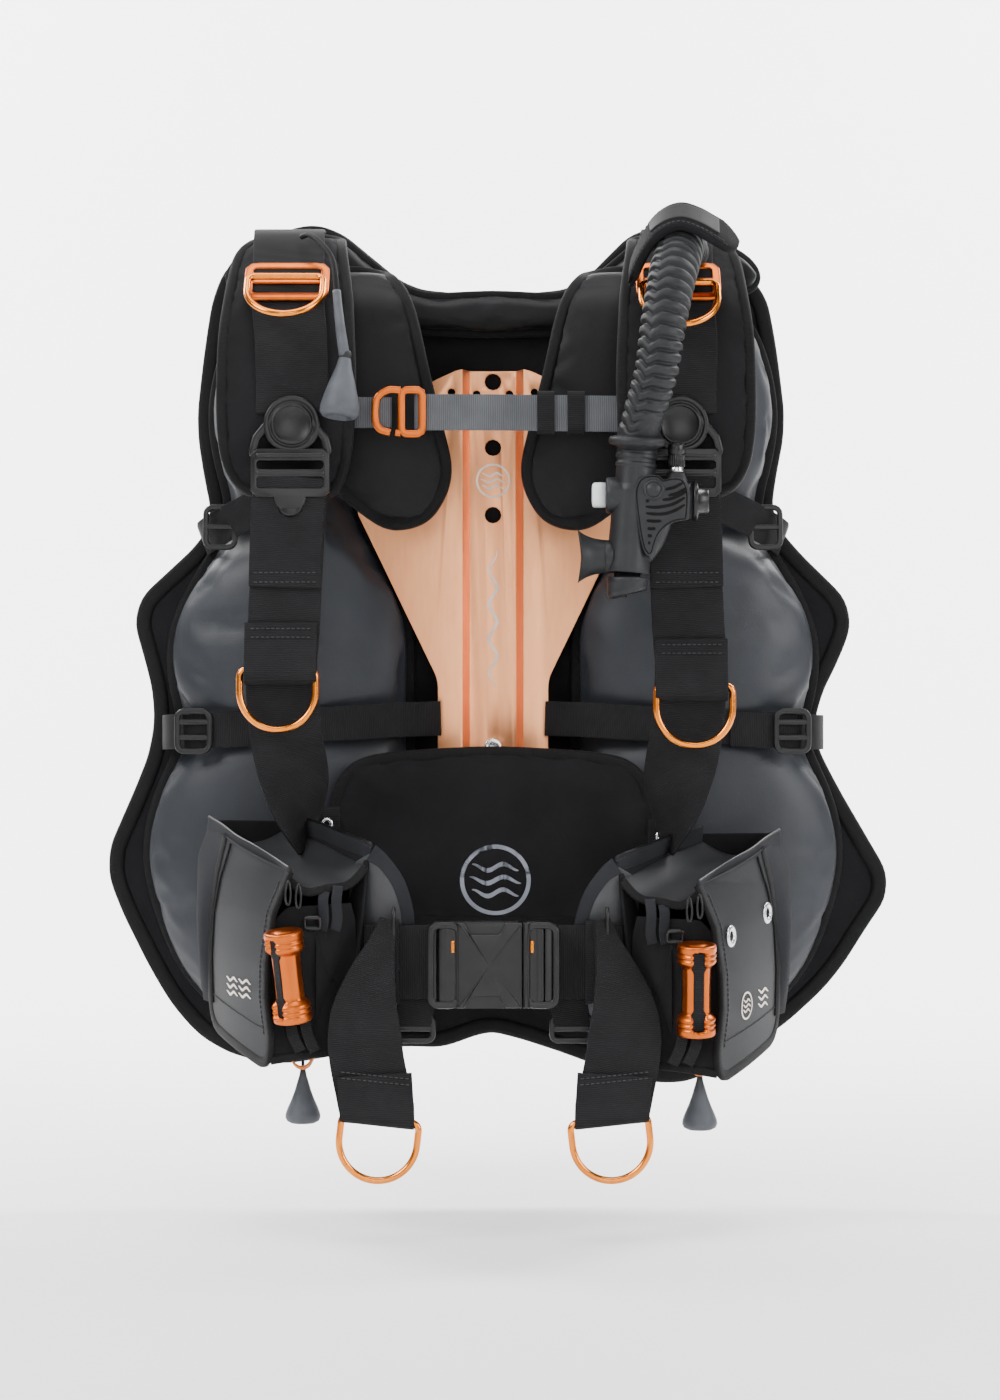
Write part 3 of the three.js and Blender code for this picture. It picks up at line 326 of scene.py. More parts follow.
class Finish:
    """A material: a Principled shader, and the places its patterns are read from."""

    def __init__(self, name, **constants):
        self.material = bpy.data.materials.new(name)
        self.material.use_nodes = True
        self.tree = self.material.node_tree
        self.shader = self.tree.nodes["Principled BSDF"]
        for key, value in constants.items():
            self.shader.inputs[key.replace("_", " ").title().replace("Ior", "IOR")].default_value = value
        self.place = add(self.tree, "ShaderNodeTexCoord")

    def over(self):
        """The piece's own map in metres: across and along."""
        split = add(self.tree, "ShaderNodeSeparateXYZ", None, {0: self.place.outputs["UV"]})
        return Value(self.tree, split.outputs[0]), Value(self.tree, split.outputs[1])

    def xyz(self):
        """Where the point is in the frame."""
        split = add(self.tree, "ShaderNodeSeparateXYZ", None, {0: self.place.outputs["Object"]})
        return [Value(self.tree, out) for out in split.outputs]

    def noise(self, size, detail=2.0, stretch=(1, 1, 1)):
        """Cloudy noise from 0 to 1 with blobs of a size in metres, longer where stretch is more."""
        scale = [1 / (size * s) for s in stretch]
        mapped = add(self.tree, "ShaderNodeMapping", None,
                     {0: self.place.outputs["Object"], "Scale": scale})
        node = add(self.tree, "ShaderNodeTexNoise", None,
                   {"Vector": mapped.outputs[0], "Scale": 1.0, "Detail": detail})
        return Value(self.tree, node.outputs[0])

    def blend(self, mask, low, high):
        """A colour between two, by a mask."""
        node = add(self.tree, "ShaderNodeMix", {"data_type": "RGBA"}, {0: mask})
        for key, colour in ((6, low), (7, high)):
            colour = getattr(colour, "socket", colour)
            if isinstance(colour, bpy.types.NodeSocket):
                self.tree.links.new(colour, node.inputs[key])
            else:
                node.inputs[key].default_value = (*colour, 1)
        return Value(self.tree, node.outputs[2])

    def done(self, colour=None, roughness=None, height=None, depth=0.0002, extra=None):
        """Plugs the patterns into the shader; height from 0 to 1 becomes a bump of a depth in metres."""
        plugs = {"Base Color": colour, "Roughness": roughness, **(extra or {})}
        for key, value in plugs.items():
            if value is not None:
                self.tree.links.new(value.socket, self.shader.inputs[key])
        if height is not None:
            bump = add(self.tree, "ShaderNodeBump", None,
                       {"Height": height, "Distance": depth, "Strength": 1.0})
            self.tree.links.new(bump.outputs[0], self.shader.inputs["Normal"])
        return self.material


# %% [markdown]
# ## The finishes
# Nylon webbing is dull black with fine ribs across it and a thicker selvedge. Pads are a plain
# woven nylon. The wing is coated, so it has almost no weave, only a fine grain and a low sheen.
# The plate is bead-blasted before it is anodised, which makes it satin, and the small fittings
# are polished first, which makes them glossy.

# %% Fabric finishes
def webbing_finish(name, colour, shine, rib=1.3e-3, rough=0.62):
    """Ribs across the webbing, with finer threads along them; raised tops are painted paler as a painted highlight,
    with random wear.
    """
    f = Finish(name, roughness=rough, sheen_weight=0.015, sheen_roughness=0.4, specular_ior_level=0.13)
    across, along = f.over()
    rib_top = along.sine(rib)
    thread = across.sine(0.55e-3)
    worn = f.noise(0.02)
    height = rib_top * 0.75 + thread * 0.25
    # painted highlight: raised ribs and threads take the paler shine colour, with random wear added
    tone = (height * 0.7 + worn * 0.5).between(0.25, 1.1)
    return f.done(f.blend(tone, colour, shine), height=height, depth=2.2e-4)


def woven_finish(name, colour, shine, pitch=0.9e-3, rough=0.8, depth=1.6e-4, sheen=0.01):
    """A plain weave: over-and-under threads, from the product of two waves; raised crossings are painted paler as a
    painted highlight, over random clouds of tone.
    """
    f = Finish(name, roughness=rough, sheen_weight=sheen, sheen_roughness=0.5, specular_ior_level=0.13)
    across, along = f.over()
    warp, weft = across.sine(pitch), along.sine(pitch)
    cell = warp * weft + (1 - warp) * (1 - weft)
    cloudy = f.noise(0.035)
    # painted highlight on the raised crossings, mixed with random clouds of tone
    tone = (cell * 0.55 + cloudy * 0.6).between(0.2, 1.0)
    return f.done(f.blend(tone, colour, shine), height=cell, depth=depth)


def coated_finish(name, colour, shine, rough=0.5, grain=0.9e-3, spec=0.34):
    """Coated cloth: a fine grain, faint clouds of tone, and a soft gloss."""
    f = Finish(name, sheen_weight=0.01, sheen_roughness=0.5, specular_ior_level=spec)
    fine, cloudy = f.noise(grain, 3), f.noise(0.05, 3)
    tone = (fine * 0.25 + cloudy * 0.9).between(0.3, 0.85)
    roughness = fine * 0.12 + cloudy * 0.1 + (rough - 0.1)
    return f.done(f.blend(tone, colour, shine), roughness, height=fine, depth=1.0e-4)


BLACK_WEB = webbing_finish("black ribbed webbing", (0.0030, 0.0030, 0.0035), (0.0135, 0.0135, 0.0150))
GREY_WEB = webbing_finish("grey ribbed webbing", (0.040, 0.042, 0.047), (0.125, 0.130, 0.140))
BINDING = webbing_finish("binding tape", (0.0022, 0.0022, 0.0026), (0.0085, 0.0085, 0.0095), rib=0.9e-3)
NYLON = woven_finish("black nylon cloth", (0.0035, 0.0035, 0.0040), (0.0115, 0.0115, 0.0130))
CHARCOAL = woven_finish("charcoal nylon cloth", (0.0085, 0.0090, 0.0105), (0.0240, 0.0250, 0.0285), pitch=1.1e-3)
SHELL_CLOTH = woven_finish("heavy wing cloth", (0.0028, 0.0028, 0.0033), (0.0090, 0.0090, 0.0105), pitch=1.3e-3)
NEOPRENE = coated_finish("smooth padded lining", (0.0030, 0.0030, 0.0036), (0.0070, 0.0070, 0.0082), rough=0.5, spec=0.15)
SLATE = coated_finish("coated slate fabric", (0.0105, 0.0122, 0.0160), (0.0190, 0.0215, 0.0272), rough=0.46)
SLATE_DARK = coated_finish("coated charcoal fabric", (0.0090, 0.0095, 0.0107), (0.0170, 0.0177, 0.0198), rough=0.55, spec=0.16)
print("fabric finishes ready")


# %% Metal, plastic and rubber finishes
def anodised_finish(name, colour, deep, rough=0.26, grain=0.0):
    """Dyed aluminium: metallic, with faint streaks in its tone and its gloss."""
    f = Finish(name, metallic=1.0)
    streak = f.noise(0.004, 3, (1, 1, 5))
    fine = f.noise(0.35e-3, 2)
    roughness = streak * 0.08 + fine * (0.06 + grain) + (rough - 0.06)
    return f.done(f.blend(streak.between(0.3, 0.75), colour, deep), roughness, height=fine,
                  depth=2e-5 + grain * 2e-4)


def moulded_finish(name, colour, rough=0.4, grain=0.5e-3, depth=4e-5, spec=0.45):
    """Injection-moulded plastic or rubber: one colour, a fine spark-eroded grain."""
    f = Finish(name, specular_ior_level=spec)
    fine, cloudy = f.noise(grain, 2), f.noise(0.012, 2)
    lighter = tuple(c * 1.5 + 0.003 for c in colour)
    roughness = fine * 0.14 + cloudy * 0.1 + (rough - 0.1)
    return f.done(f.blend(cloudy.between(0.3, 0.8), colour, lighter), roughness, height=fine, depth=depth)


PLATE = anodised_finish("bead-blasted copper anodising", (1.0, 0.46, 0.22), (0.95, 0.41, 0.19), 0.42, 0.05)
ORANGE = anodised_finish("orange anodising", (0.56, 0.125, 0.018), (0.50, 0.100, 0.014), 0.33)
GOLD = anodised_finish("gold-orange anodising", (0.80, 0.25, 0.030), (0.72, 0.195, 0.020), 0.22)
STEEL = anodised_finish("stainless steel", (0.72, 0.73, 0.75), (0.60, 0.61, 0.63), 0.22)
ACETAL = moulded_finish("black acetal", (0.0030, 0.0030, 0.0035), 0.32, spec=0.33)
RUBBER = moulded_finish("black rubber", (0.0050, 0.0050, 0.0056), 0.6, depth=6e-5, spec=0.35)
HOSE_RUBBER = moulded_finish("dark grey hose rubber", (0.0062, 0.0066, 0.0076), 0.5, spec=0.3)
GREY_RUBBER = moulded_finish("grey rubber", (0.045, 0.049, 0.057), 0.55, spec=0.35)
LIGHT_PLASTIC = moulded_finish("light grey plastic", (0.50, 0.51, 0.52), 0.4)
PRINT = moulded_finish("grey reflective print", (0.16, 0.17, 0.20), 0.5)
PALE_PRINT = moulded_finish("pale print", (0.62, 0.55, 0.50), 0.5)
THREAD = moulded_finish("sewing thread", (0.014, 0.014, 0.0155), 0.7)
# painted shade: a near-black finish for the shade inside holes, slots and grooves
HOLE_SHADE = moulded_finish("painted shade in holes", (0.004, 0.004, 0.004), 0.9, spec=0.1)
print("hard finishes ready")
# %% [markdown]
# ## The dump cord
# A limp cord comes out of the right shoulder, hangs over the edge of the pad and ends in a rubber
# bulb that is pulled to let air out. A cord is a tube of one width along its real route. A
# tapered sleeve covers its last stretch, so that the bulb can be pulled down and the cord is
# still seen to go into it.

# %% Cord, sleeve and bulb
DUMP_CORD = [
    (-134, -99, 275), (-128, -114, 274), (-119, -129, 266), (-111, -141, 254), (-108, -150, 240),
    (-106.5, -156, 225), (-105, -160, 211), (-103, -161, 196), (-101.3, -161, 184.5),
]
CORD_WIDE = 0.004
BULB = [(0, 3), (3.6, 2.5), (4.4, 0), (5.6, -6), (8.6, -15), (11.6, -25), (13.4, -33), (13.3, -37.5),
        (11.5, -40), (9.6, -40.7), (8.6, -40), (8.0, -36), (0, -34.5)]


def make_dump_control():
    line = path(DUMP_CORD, 60)
    cord = tube("dump_cord", line, CORD_WIDE / 2, sides=14)
    dress(cord, "root", "black_webbing", BINDING, "shoulder_dump_cord")
    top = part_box("shoulder_toggle")[1]
    at = np.array((mm(-101)[0], mm(-161)[0], top[2]))
    bulb = lathe("shoulder_bulb", BULB, at, (0.10, 0.12, 1))
    dress(bulb, "shoulder_toggle", "grey_rubber", GREY_RUBBER, "shoulder_toggle")
    cuff = lathe("shoulder_bulb_joint", [(0, 6), (3.4, 6), (4.2, 4.5), (4.2, 0.5), (3.6, -1), (0, -1)], at,
                 (0.10, 0.12, 1))
    dress(cuff, "shoulder_toggle", "black_rubber", RUBBER)
    covered = line[-22:] + mm(0, 0, 0.5)
    sleeve = tube("cord_sleeve", covered, np.linspace(0.0028, 0.0038, len(covered)))
    dress(sleeve, "shoulder_toggle", "grey_rubber", GREY_RUBBER)


make_dump_control()
# %% [markdown]
# ## The backplate
# Three millimetres of aluminium, cut, drilled and pressed so that a channel runs down its spine.
# Its CAD shape is right, so a copy only gets rounded edges and its finish. The print on it is a
# plain sign of this lesson's own: waves in a ring, over a long ripple.

# %% Plate, bolt and printed sign
def refined(name, node, bevel=0.0008, segments=2):
    """A copy of a CAD node with its loose triangles joined into faces and its edges rounded."""
    piece = bpy.data.objects.new(name, NODES[node].data.copy())
    bpy.context.scene.collection.objects.link(piece)
    work = bmesh.new()
    work.from_mesh(piece.data)
    bmesh.ops.remove_doubles(work, verts=work.verts, dist=1e-6)
    bmesh.ops.dissolve_limit(work, angle_limit=0.02, verts=work.verts, edges=work.edges)
    work.to_mesh(piece.data)
    work.free()
    piece.data.polygons.foreach_set("use_smooth", np.full(len(piece.data.polygons), True))
    round_off = piece.modifiers.new("rounded edges", "BEVEL")
    round_off.width, round_off.segments, round_off.harden_normals = bevel, segments, True
    round_off.angle_limit = math.radians(35)
    return piece


def flat_print(name, rings, at, right, up, lift=0.00012):
    """Thin printed shapes: each pair of outlines, inner and outer, becomes one raised band."""
    pieces = []
    for k, (inner, outer) in enumerate(rings):
        low = np.stack([into_space(inner, at, right, up), into_space(outer, at, right, up)], 1)
        out = unit(np.cross(right, up)) * lift
        grid = np.stack([low[:, 0] - out, low[:, 0] + out, low[:, 1] + out, low[:, 1] - out], 1)
        pieces.append(surface(f"{name}_{k}", grid, wrap=(True, True), smooth=False))
    return joined(name, pieces)


def joined(name, pieces):
    """Makes one piece of several."""
    work = bmesh.new()
    for piece in pieces:
        work.from_mesh(piece.data)
        bpy.data.objects.remove(piece)
    mesh = bpy.data.meshes.new(name)
    work.to_mesh(mesh)
    work.free()
    whole = bpy.data.objects.new(name, mesh)
    bpy.context.scene.collection.objects.link(whole)
    return whole


def circle(radius, count=72):
    turn = np.linspace(0, 2 * np.pi, count, endpoint=False)
    return np.stack([np.cos(turn), np.sin(turn)], 1) * radius


def wave_band(width, height, amplitude, thick, waves=1.5, count=60):
    """A strip that follows a sine, as the inner and outer outline of a thin closed band."""
    x = np.linspace(-width / 2, width / 2, count)
    y = height + amplitude * np.sin(x / width * 2 * np.pi * waves)
    fade = thick * np.sqrt(1 - (2 * x / width) ** 2 * 0.999)
    return np.stack([x, y - fade], 1), np.stack([x, y + fade], 1)


def open_band(name, low, high, at, right, up, lift=0.00012):
    """A flat printed strip between two lines of a drawing, closed all round."""
    a, b = into_space(low, at, right, up), into_space(high, at, right, up)
    out = unit(np.cross(right, up)) * lift
    return surface(name, np.stack([a - out, a + out, b + out, b - out], 1), wrap=(False, True), smooth=False)


def waves_in_ring(name, radius, at, right=(1, 0, 0), up=(0, 0, 1)):
    """The sign: a ring, with three waves inside it that shorten towards the top and bottom."""
    ring = flat_print(name + "_ring", [(circle(radius * 0.88), circle(radius))], at, right, up)
    strips = []
    for k, level in enumerate((-0.36, 0.0, 0.36)):
        wide = 2 * radius * 0.86 * math.sqrt(0.72 - level**2)
        low, high = wave_band(wide, level * radius, radius * 0.09, radius * 0.07)
        strips.append(open_band(f"{name}_{k}", low, high, at, right, up))
    return joined(name, [ring, *strips])


plate = refined("plate", "backplate", 0.0007)
dress(plate, "root", "anodised_plate", PLATE, "backplate")
bolt = refined("plate_screw", "plate_bolt", 0.0008, 3)
dress(bolt, "root", "steel", STEEL, "plate_bolt")

spine_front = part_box("backplate")[1][1] - 0.003
sign = waves_in_ring("plate_sign", 0.0125, (0, spine_front - 0.0001, 0.109))
dress(sign, "root", "anodised_plate", PALE_PRINT)
rise = np.linspace(-0.042, 0.058, 160)
sway = 0.0028 * np.sin(rise / 0.1 * 2 * np.pi * 4)
thin = 0.0013 * np.sqrt(1 - ((rise - 0.008) / 0.0502) ** 2)
edges = [np.stack([sway + k * thin, rise], 1) for k in (-1, 1)]
stripe = open_band("plate_ripple", *edges, (0, spine_front - 0.0001, 0), (1, 0, 0), (0, 0, 1))
dress(stripe, "root", "anodised_plate", PALE_PRINT)
print("plate ready")
# %% [markdown]
# ## Padded pieces
# A sewn pad is two panels of cloth joined at a seam and filled between. Its outer size is already
# in the frame, so each pad is read from its CAD solid: planes cut the solid at even stations, and
# a rounded section is laid in each cut. Cloth simulation then blows the pad up a little while the
# sewn edges stay where they are, which draws the small puckers that thread makes in real fabric.

# %% Cutting a CAD solid into stations
def stations(node, along, across, count, even=6):
    """Cuts a node by planes square to along, and boxes each cut.

    An edge from a to b crosses the plane at q in a + (b - a)(q - q_a) / (q_b - q_a). Returns the
    three unit directions and, for each plane, q and the cut's least and greatest width and depth.
    Least depth is the front. The outline is evened out over a few stations.
    """
    mesh = NODES[node].data
    co = np.empty(3 * len(mesh.vertices))
    mesh.vertices.foreach_get("co", co)
    edges = np.empty(2 * len(mesh.edges), int)
    mesh.edges.foreach_get("vertices", edges)
    along, across = unit(np.array(along, float)), np.array(across, float)
    through = np.cross(along, across)
    through *= np.sign(through[1])
    flat = co.reshape(-1, 3) @ np.stack([along, across, through], 1)
    a, b = flat[edges.reshape(-1, 2)].transpose(1, 0, 2)
    low, high = flat[:, 0].min(), flat[:, 0].max()
    q = low + (high - low) * (1 - np.cos(np.linspace(0.06, np.pi - 0.06, count))) / 2
    rise = b[:, 0] - a[:, 0]
    share = (q[:, None] - a[None, :, 0]) / np.where(abs(rise) < 1e-9, 1, rise)
    crosses = (share >= 0) & (share <= 1) & (abs(rise) > 1e-9)
    cut = a[None, :, 1:] + share[..., None] * (b - a)[None, :, 1:]
    least = np.where(crosses[..., None], cut, 9).min(1)
    most = np.where(crosses[..., None], cut, -9).max(1)
    box = np.stack([least[:, 0], most[:, 0], least[:, 1], most[:, 1]], 1)
    pad = np.vstack([np.repeat(box[:1], even, 0), box, np.repeat(box[-1:], even, 0)])
    kernel = np.hanning(2 * even + 1) / np.hanning(2 * even + 1).sum()
    box = np.stack([np.convolve(pad[:, k], kernel, "valid") for k in range(4)], 1)
    return (along, across, through), q, box


def cushion(name, node, along, across, count=60, around=56, seam=0.5, power=3.0, inset=0.0,
            end=14.0, shape=None):
    """A closed pad in a node's stations. Returns the piece and the line of its sewn rim.

    Across a station, x = middle + half |cos|^(2/p) and the depth is the seam's depth less the
    front's height times |sin|^(2/p). Towards both ends the section shrinks by (1 - |2v - 1|^end)^.5.
    shape(v, u, front) may scale the height, for grooves and straps that press the pad in.
    """
    (e_q, e_w, e_t), q, box = stations(node, along, across, count)
    w0, w1, t0, t1 = box.T[:, :, None]
    v = np.linspace(0, 1, count)[:, None]
    closing = np.sqrt(np.maximum(1 - abs(2 * v - 1) ** end, 0.0))
    turn = np.linspace(0, 2 * np.pi, around, endpoint=False)[None]
    c = np.sign(np.cos(turn)) * abs(np.cos(turn)) ** (2 / power)
    s = abs(np.sin(turn)) ** (2 / power)
    front = np.sin(turn) > 0
    half = ((w1 - w0) / 2 - inset) * (0.35 + 0.65 * closing)
    seam_t = t1 + (t0 - t1) * seam
    height = np.where(front, t0 - seam_t + inset / 2, t1 - seam_t - inset / 2) * s * closing
    w = (w0 + w1) / 2 + half * c
    if shape is not None:
        height = height * shape(q[:, None] + 0 * w, w, front)
    points = (q[:, None, None] * e_q + w[..., None] * e_w + (seam_t + height)[..., None] * e_t)
    seamed = abs(np.sin(turn)) ** 2 < 0.03
    marks = np.maximum(seamed, (closing < 0.6)).astype(float) + 0 * w
    middle = points.mean(1, keepdims=True)
    whole = np.concatenate([middle[:1] + 0 * points[:1], points, middle[-1:] + 0 * points[-1:]])
    marks = np.concatenate([marks[:1], marks, marks[-1:]])
    spot = np.stack([w, q[:, None] + 0 * w], -1)
    uv = np.concatenate([spot[:1], spot, spot[-1:]])
    piece = surface(name, whole, wrap=(False, True), uv=uv, marks=marks)
    edge = w0.ravel(), w1.ravel()
    mid = (w0 + w1).ravel() / 2
    grow = (0.35 + 0.65 * closing.ravel())
    rims = [q[:, None] * e_q + (mid + (side - mid) * grow)[:, None] * e_w + seam_t * e_t for side in edge]
    return piece, np.vstack([rims[1], rims[0][::-1]]), e_t


def inflate(piece, pressure=4.0, slack=0.03, reach=0.006, steps=18, backed=False):
    """Fills a closed piece by cloth simulation; points marked as sewn stay where they are.

    slack is how much larger the cloth is cut than the shape, and reach is as far as a point may go.
    A backed piece lies on a stiff panel behind it, so none of its points moves that way.
    """
    mesh = piece.data
    marks = np.empty(len(mesh.vertices))
    mesh.attributes["sewn"].data.foreach_get("value", marks)
    group = piece.vertex_groups.new(name="sewn")
    group.add(np.flatnonzero(marks > 0.5).tolist(), 1.0, "ADD")
    cloth = piece.modifiers.new("fill", "CLOTH")
    cloth.settings.vertex_group_mass = "sewn"
    cloth.settings.mass = 0.2
    cloth.settings.quality = 4
    cloth.settings.bending_stiffness = 0.3
    cloth.settings.use_pressure = True
    cloth.settings.uniform_pressure_force = pressure
    cloth.settings.shrink_min = -slack
    cloth.settings.effector_weights.gravity = 0
    cloth.collision_settings.use_collision = False
    cloth.point_cache.frame_start, cloth.point_cache.frame_end = 1, steps
    start = np.empty(3 * len(mesh.vertices))
    mesh.vertices.foreach_get("co", start)
    for step in range(1, steps + 1):
        bpy.context.scene.frame_set(step)
    ready = piece.evaluated_get(bpy.context.evaluated_depsgraph_get()).to_mesh()
    moved = np.empty_like(start)
    ready.vertices.foreach_get("co", moved)
    bpy.context.scene.frame_set(1)
    piece.modifiers.remove(cloth)
    piece.vertex_groups.clear()
    go = (moved - start).reshape(-1, 3)
    far = np.linalg.norm(go, axis=1, keepdims=True)
    go *= reach * np.tanh(far / reach) / np.maximum(far, 1e-9)
    if backed:
        go[:, 1] = np.minimum(go[:, 1], 0)
    mesh.vertices.foreach_set("co", start + go.ravel())
    mesh.update()
    print(piece.name, "moved up to", round(float(far.max()) * 1000, 1), "mm")


def binding(name, rim, through, width=0.009, thick=0.0046, count=260):
    """Binding tape folded over a sewn edge: a flattened section carried round the rim."""
    line = respaced(np.vstack([rim, rim[:1]]), count + 1)[:-1]
    for _ in range(3):
        line = (np.roll(line, 1, 0) + 2 * line + np.roll(line, -1, 0)) / 4
    tangent = unit(np.roll(line, -1, 0) - np.roll(line, 1, 0))
    return sweep(name, line, np.cross(tangent, through), oval(width, thick, 3.2, 14), closed=True)


# %% [markdown]
# ## The wing
# The wing is two air chambers of coated cloth, welded to a heavier back panel that stands out
# round them as a flange. Two compression straps cross each lobe and press a waist into it. The
# lobes are the largest thing in view, so they get the finest grid.

# %% The wing's lobes
UPPER_STRAP_Z, LOWER_STRAP_Z = 0.074, -0.070
STRAP_FALL = 0.05


def wing_shape(side):
    """How far straps press a lobe in: height times 1 - d exp(-((z - z_strap) / width)^2)."""
    def shape(z, x, front):
        lower = LOWER_STRAP_Z - STRAP_FALL * (abs(x) - 0.13)
        upper = UPPER_STRAP_Z + 0.12 * (abs(x) - 0.19)
        low = 0.22 * np.exp(-((z - lower) / 0.020) ** 2)
        outside = 1 / (1 + np.exp(-(abs(x) - 0.165) / 0.008))
        high = 0.55 * outside * np.exp(-((z - upper) / 0.022) ** 2)
        return np.where(front, 1 - low - high, 1)
    return shape


def make_lobe(side, sign):
    node = f"wing_lobe_{side}"
    lobe, rim, through = cushion(node + "_cloth", node, (0, 0, 1), (1, 0, 0), 150, 84, seam=0.12,
                                 power=2.5, inset=0.0015, end=10, shape=wing_shape(sign))
    inflate(lobe, pressure=3.0, slack=0.035, reach=0.007, backed=True)
    dress(lobe, "root", "coated_fabric", SLATE, node)
    tape = binding(f"wing_seam_{side}", rim, through, 0.010, 0.005, 320)
    dress(tape, "root", "black_fabric", BINDING)
    return lobe


for side, sign in SIDES.items():
    make_lobe(side, sign)
print("wing lobes ready")


# %% The wing's back panel
def outline(node, facing=(0, -1, 0)):
    """The border of the flat face that looks one way, walked from edge to edge."""
    work = bmesh.new()
    work.from_mesh(NODES[node].data)
    bmesh.ops.remove_doubles(work, verts=work.verts, dist=1e-6)
    ahead = [f for f in work.faces if f.normal.dot(facing) > 0.99]
    least = min(-f.calc_center_median().dot(facing) for f in ahead)
    cap = {f for f in ahead if -f.calc_center_median().dot(facing) < least + 1e-4}
    border = {e for f in cap for e in f.edges if sum(g in cap for g in e.link_faces) == 1}
    loops = []
    while border:
        edge = border.pop()
        loop = [edge.verts[0], edge.verts[1]]
        while (step := next((e for e in loop[-1].link_edges if e in border), None)) is not None:
            border.remove(step)
            loop.append(step.other_vert(loop[-1]))
        loops.append(np.array([v.co[:] for v in loop[:-1]]))
    work.free()
    return sorted(loops, key=lambda loop: -lengths(loop)[-1])


def ripple(points, size=0.0035):
    """Slow waves in depth, so that a flat panel lies like cloth: a sum of three sines of x and z."""
    x, z = points[..., 0], points[..., 2]
    wave = np.sin(41 * x + 19 * z + 0.4) + 0.7 * np.sin(-23 * x + 37 * z + 1.9) + 0.5 * np.sin(67 * z + 31 * x)
    moved = points.copy()
    moved[..., 1] += size * wave / 2.2
    return moved


def remeshed_copy(name, node, voxel):
    """A copy of a CAD node rebuilt as even small faces, ready to be moved as cloth."""
    piece = bpy.data.objects.new(name, NODES[node].data.copy())
    bpy.context.scene.collection.objects.link(piece)
    work = bmesh.new()
    work.from_mesh(piece.data)
    bmesh.ops.remove_doubles(work, verts=work.verts, dist=1e-6)
    work.to_mesh(piece.data)
    work.free()
    remesh = piece.modifiers.new("remesh", "REMESH")
    remesh.mode, remesh.voxel_size, remesh.use_smooth_shade = "VOXEL", voxel, True
    ready = piece.evaluated_get(bpy.context.evaluated_depsgraph_get())
    mesh = bpy.data.meshes.new_from_object(ready)
    piece.modifiers.clear()
    piece.data = mesh
    return piece


def make_wing_panel():
    piece = remeshed_copy("wing_panel", "wing_back_shell", 0.0028)
    mesh = piece.data
    co = np.empty(3 * len(mesh.vertices))
    mesh.vertices.foreach_get("co", co)
    points = ripple(co.reshape(-1, 3), 0.0012)
    mesh.vertices.foreach_set("co", points.ravel())
    uv = mesh.uv_layers.new(name="metres")
    corner = np.empty(len(mesh.loops), int)
    mesh.loops.foreach_get("vertex_index", corner)
    uv.data.foreach_set("uv", points[corner][:, [0, 2]].ravel())
    dress(piece, "root", "black_fabric", SHELL_CLOTH, "wing_back_shell")
    rim = outline("wing_back_shell")[0]
    rim[:, 1] += 0.00275
    line = ripple(respaced(np.vstack([rim, rim[:1]]), 501)[:-1], 0.0012)
    tape = binding("wing_edge_tape", line, np.array((0, 1.0, 0)), 0.012, 0.0095, 500)
    dress(tape, "root", "black_fabric", BINDING)


make_wing_panel()
print("wing panel ready")


# %% [markdown]
# ## Collar, shoulder pads and lumbar cushion
# Each is foam between nylon panels, with binding tape sewn round the edge. The pads are read from
# their solids along the way they run: down the shoulder, across the neck, or up the back.

# %% Pads
SHOULDER_RUN = (0, 0.43, 0.90)


def make_pads(side):
    for kind, flat in (("shoulder", 3.4), ("chest", 3.0)):
        node = f"{kind}_pad_{side}"
        pad, rim, through = cushion(node + "_foam", node, SHOULDER_RUN, (1, 0, 0), 84, 48, seam=0.5,
                                    power=flat, inset=0.001, end=16)
        inflate(pad, pressure=2.0, slack=0.012, reach=0.0025)
        dress(pad, "root", "black_fabric", NYLON if kind == "shoulder" else NEOPRENE, node)
        tape = binding(f"{kind}_pad_tape_{side}", rim, through, 0.0085, 0.0072)
        dress(tape, "root", "black_fabric", BINDING)


for side in SIDES:
    make_pads(side)

collar, rim, through = cushion("collar_roll", "collar", (1, 0, 0), (0, 0, 1), 120, 40, seam=0.4,
                               power=2.6, inset=0.001, end=20)
inflate(collar, pressure=2.0, slack=0.012, reach=0.0025)
dress(collar, "root", "black_fabric", NEOPRENE, "collar")
dress(binding("collar_tape", rim, through, 0.0085, 0.0072, 320), "root", "black_fabric", BINDING)

lumbar, rim, through = cushion("lumbar_cushion", "lumbar_pad", (0, 0, 1), (1, 0, 0), 70, 72, seam=0.55,
                               power=4.5, inset=0.001, end=12)
inflate(lumbar, pressure=2.5, slack=0.012, reach=0.003)
dress(lumbar, "root", "black_fabric", NYLON, "lumbar_pad")
dress(binding("lumbar_tape", rim, through, 0.0095, 0.0085, 320), "root", "black_fabric", BINDING)
print("pads ready")
# %% [markdown]
# ## Webbing
# Webbing bends one way only, so each strap is a thin section along a smooth path with a direction
# for its width. Where a strap turns edge-on, that direction turns along the path. Its map in
# metres carries the ribs. Rows of real stitches hold the folds: each is a small raised thread.

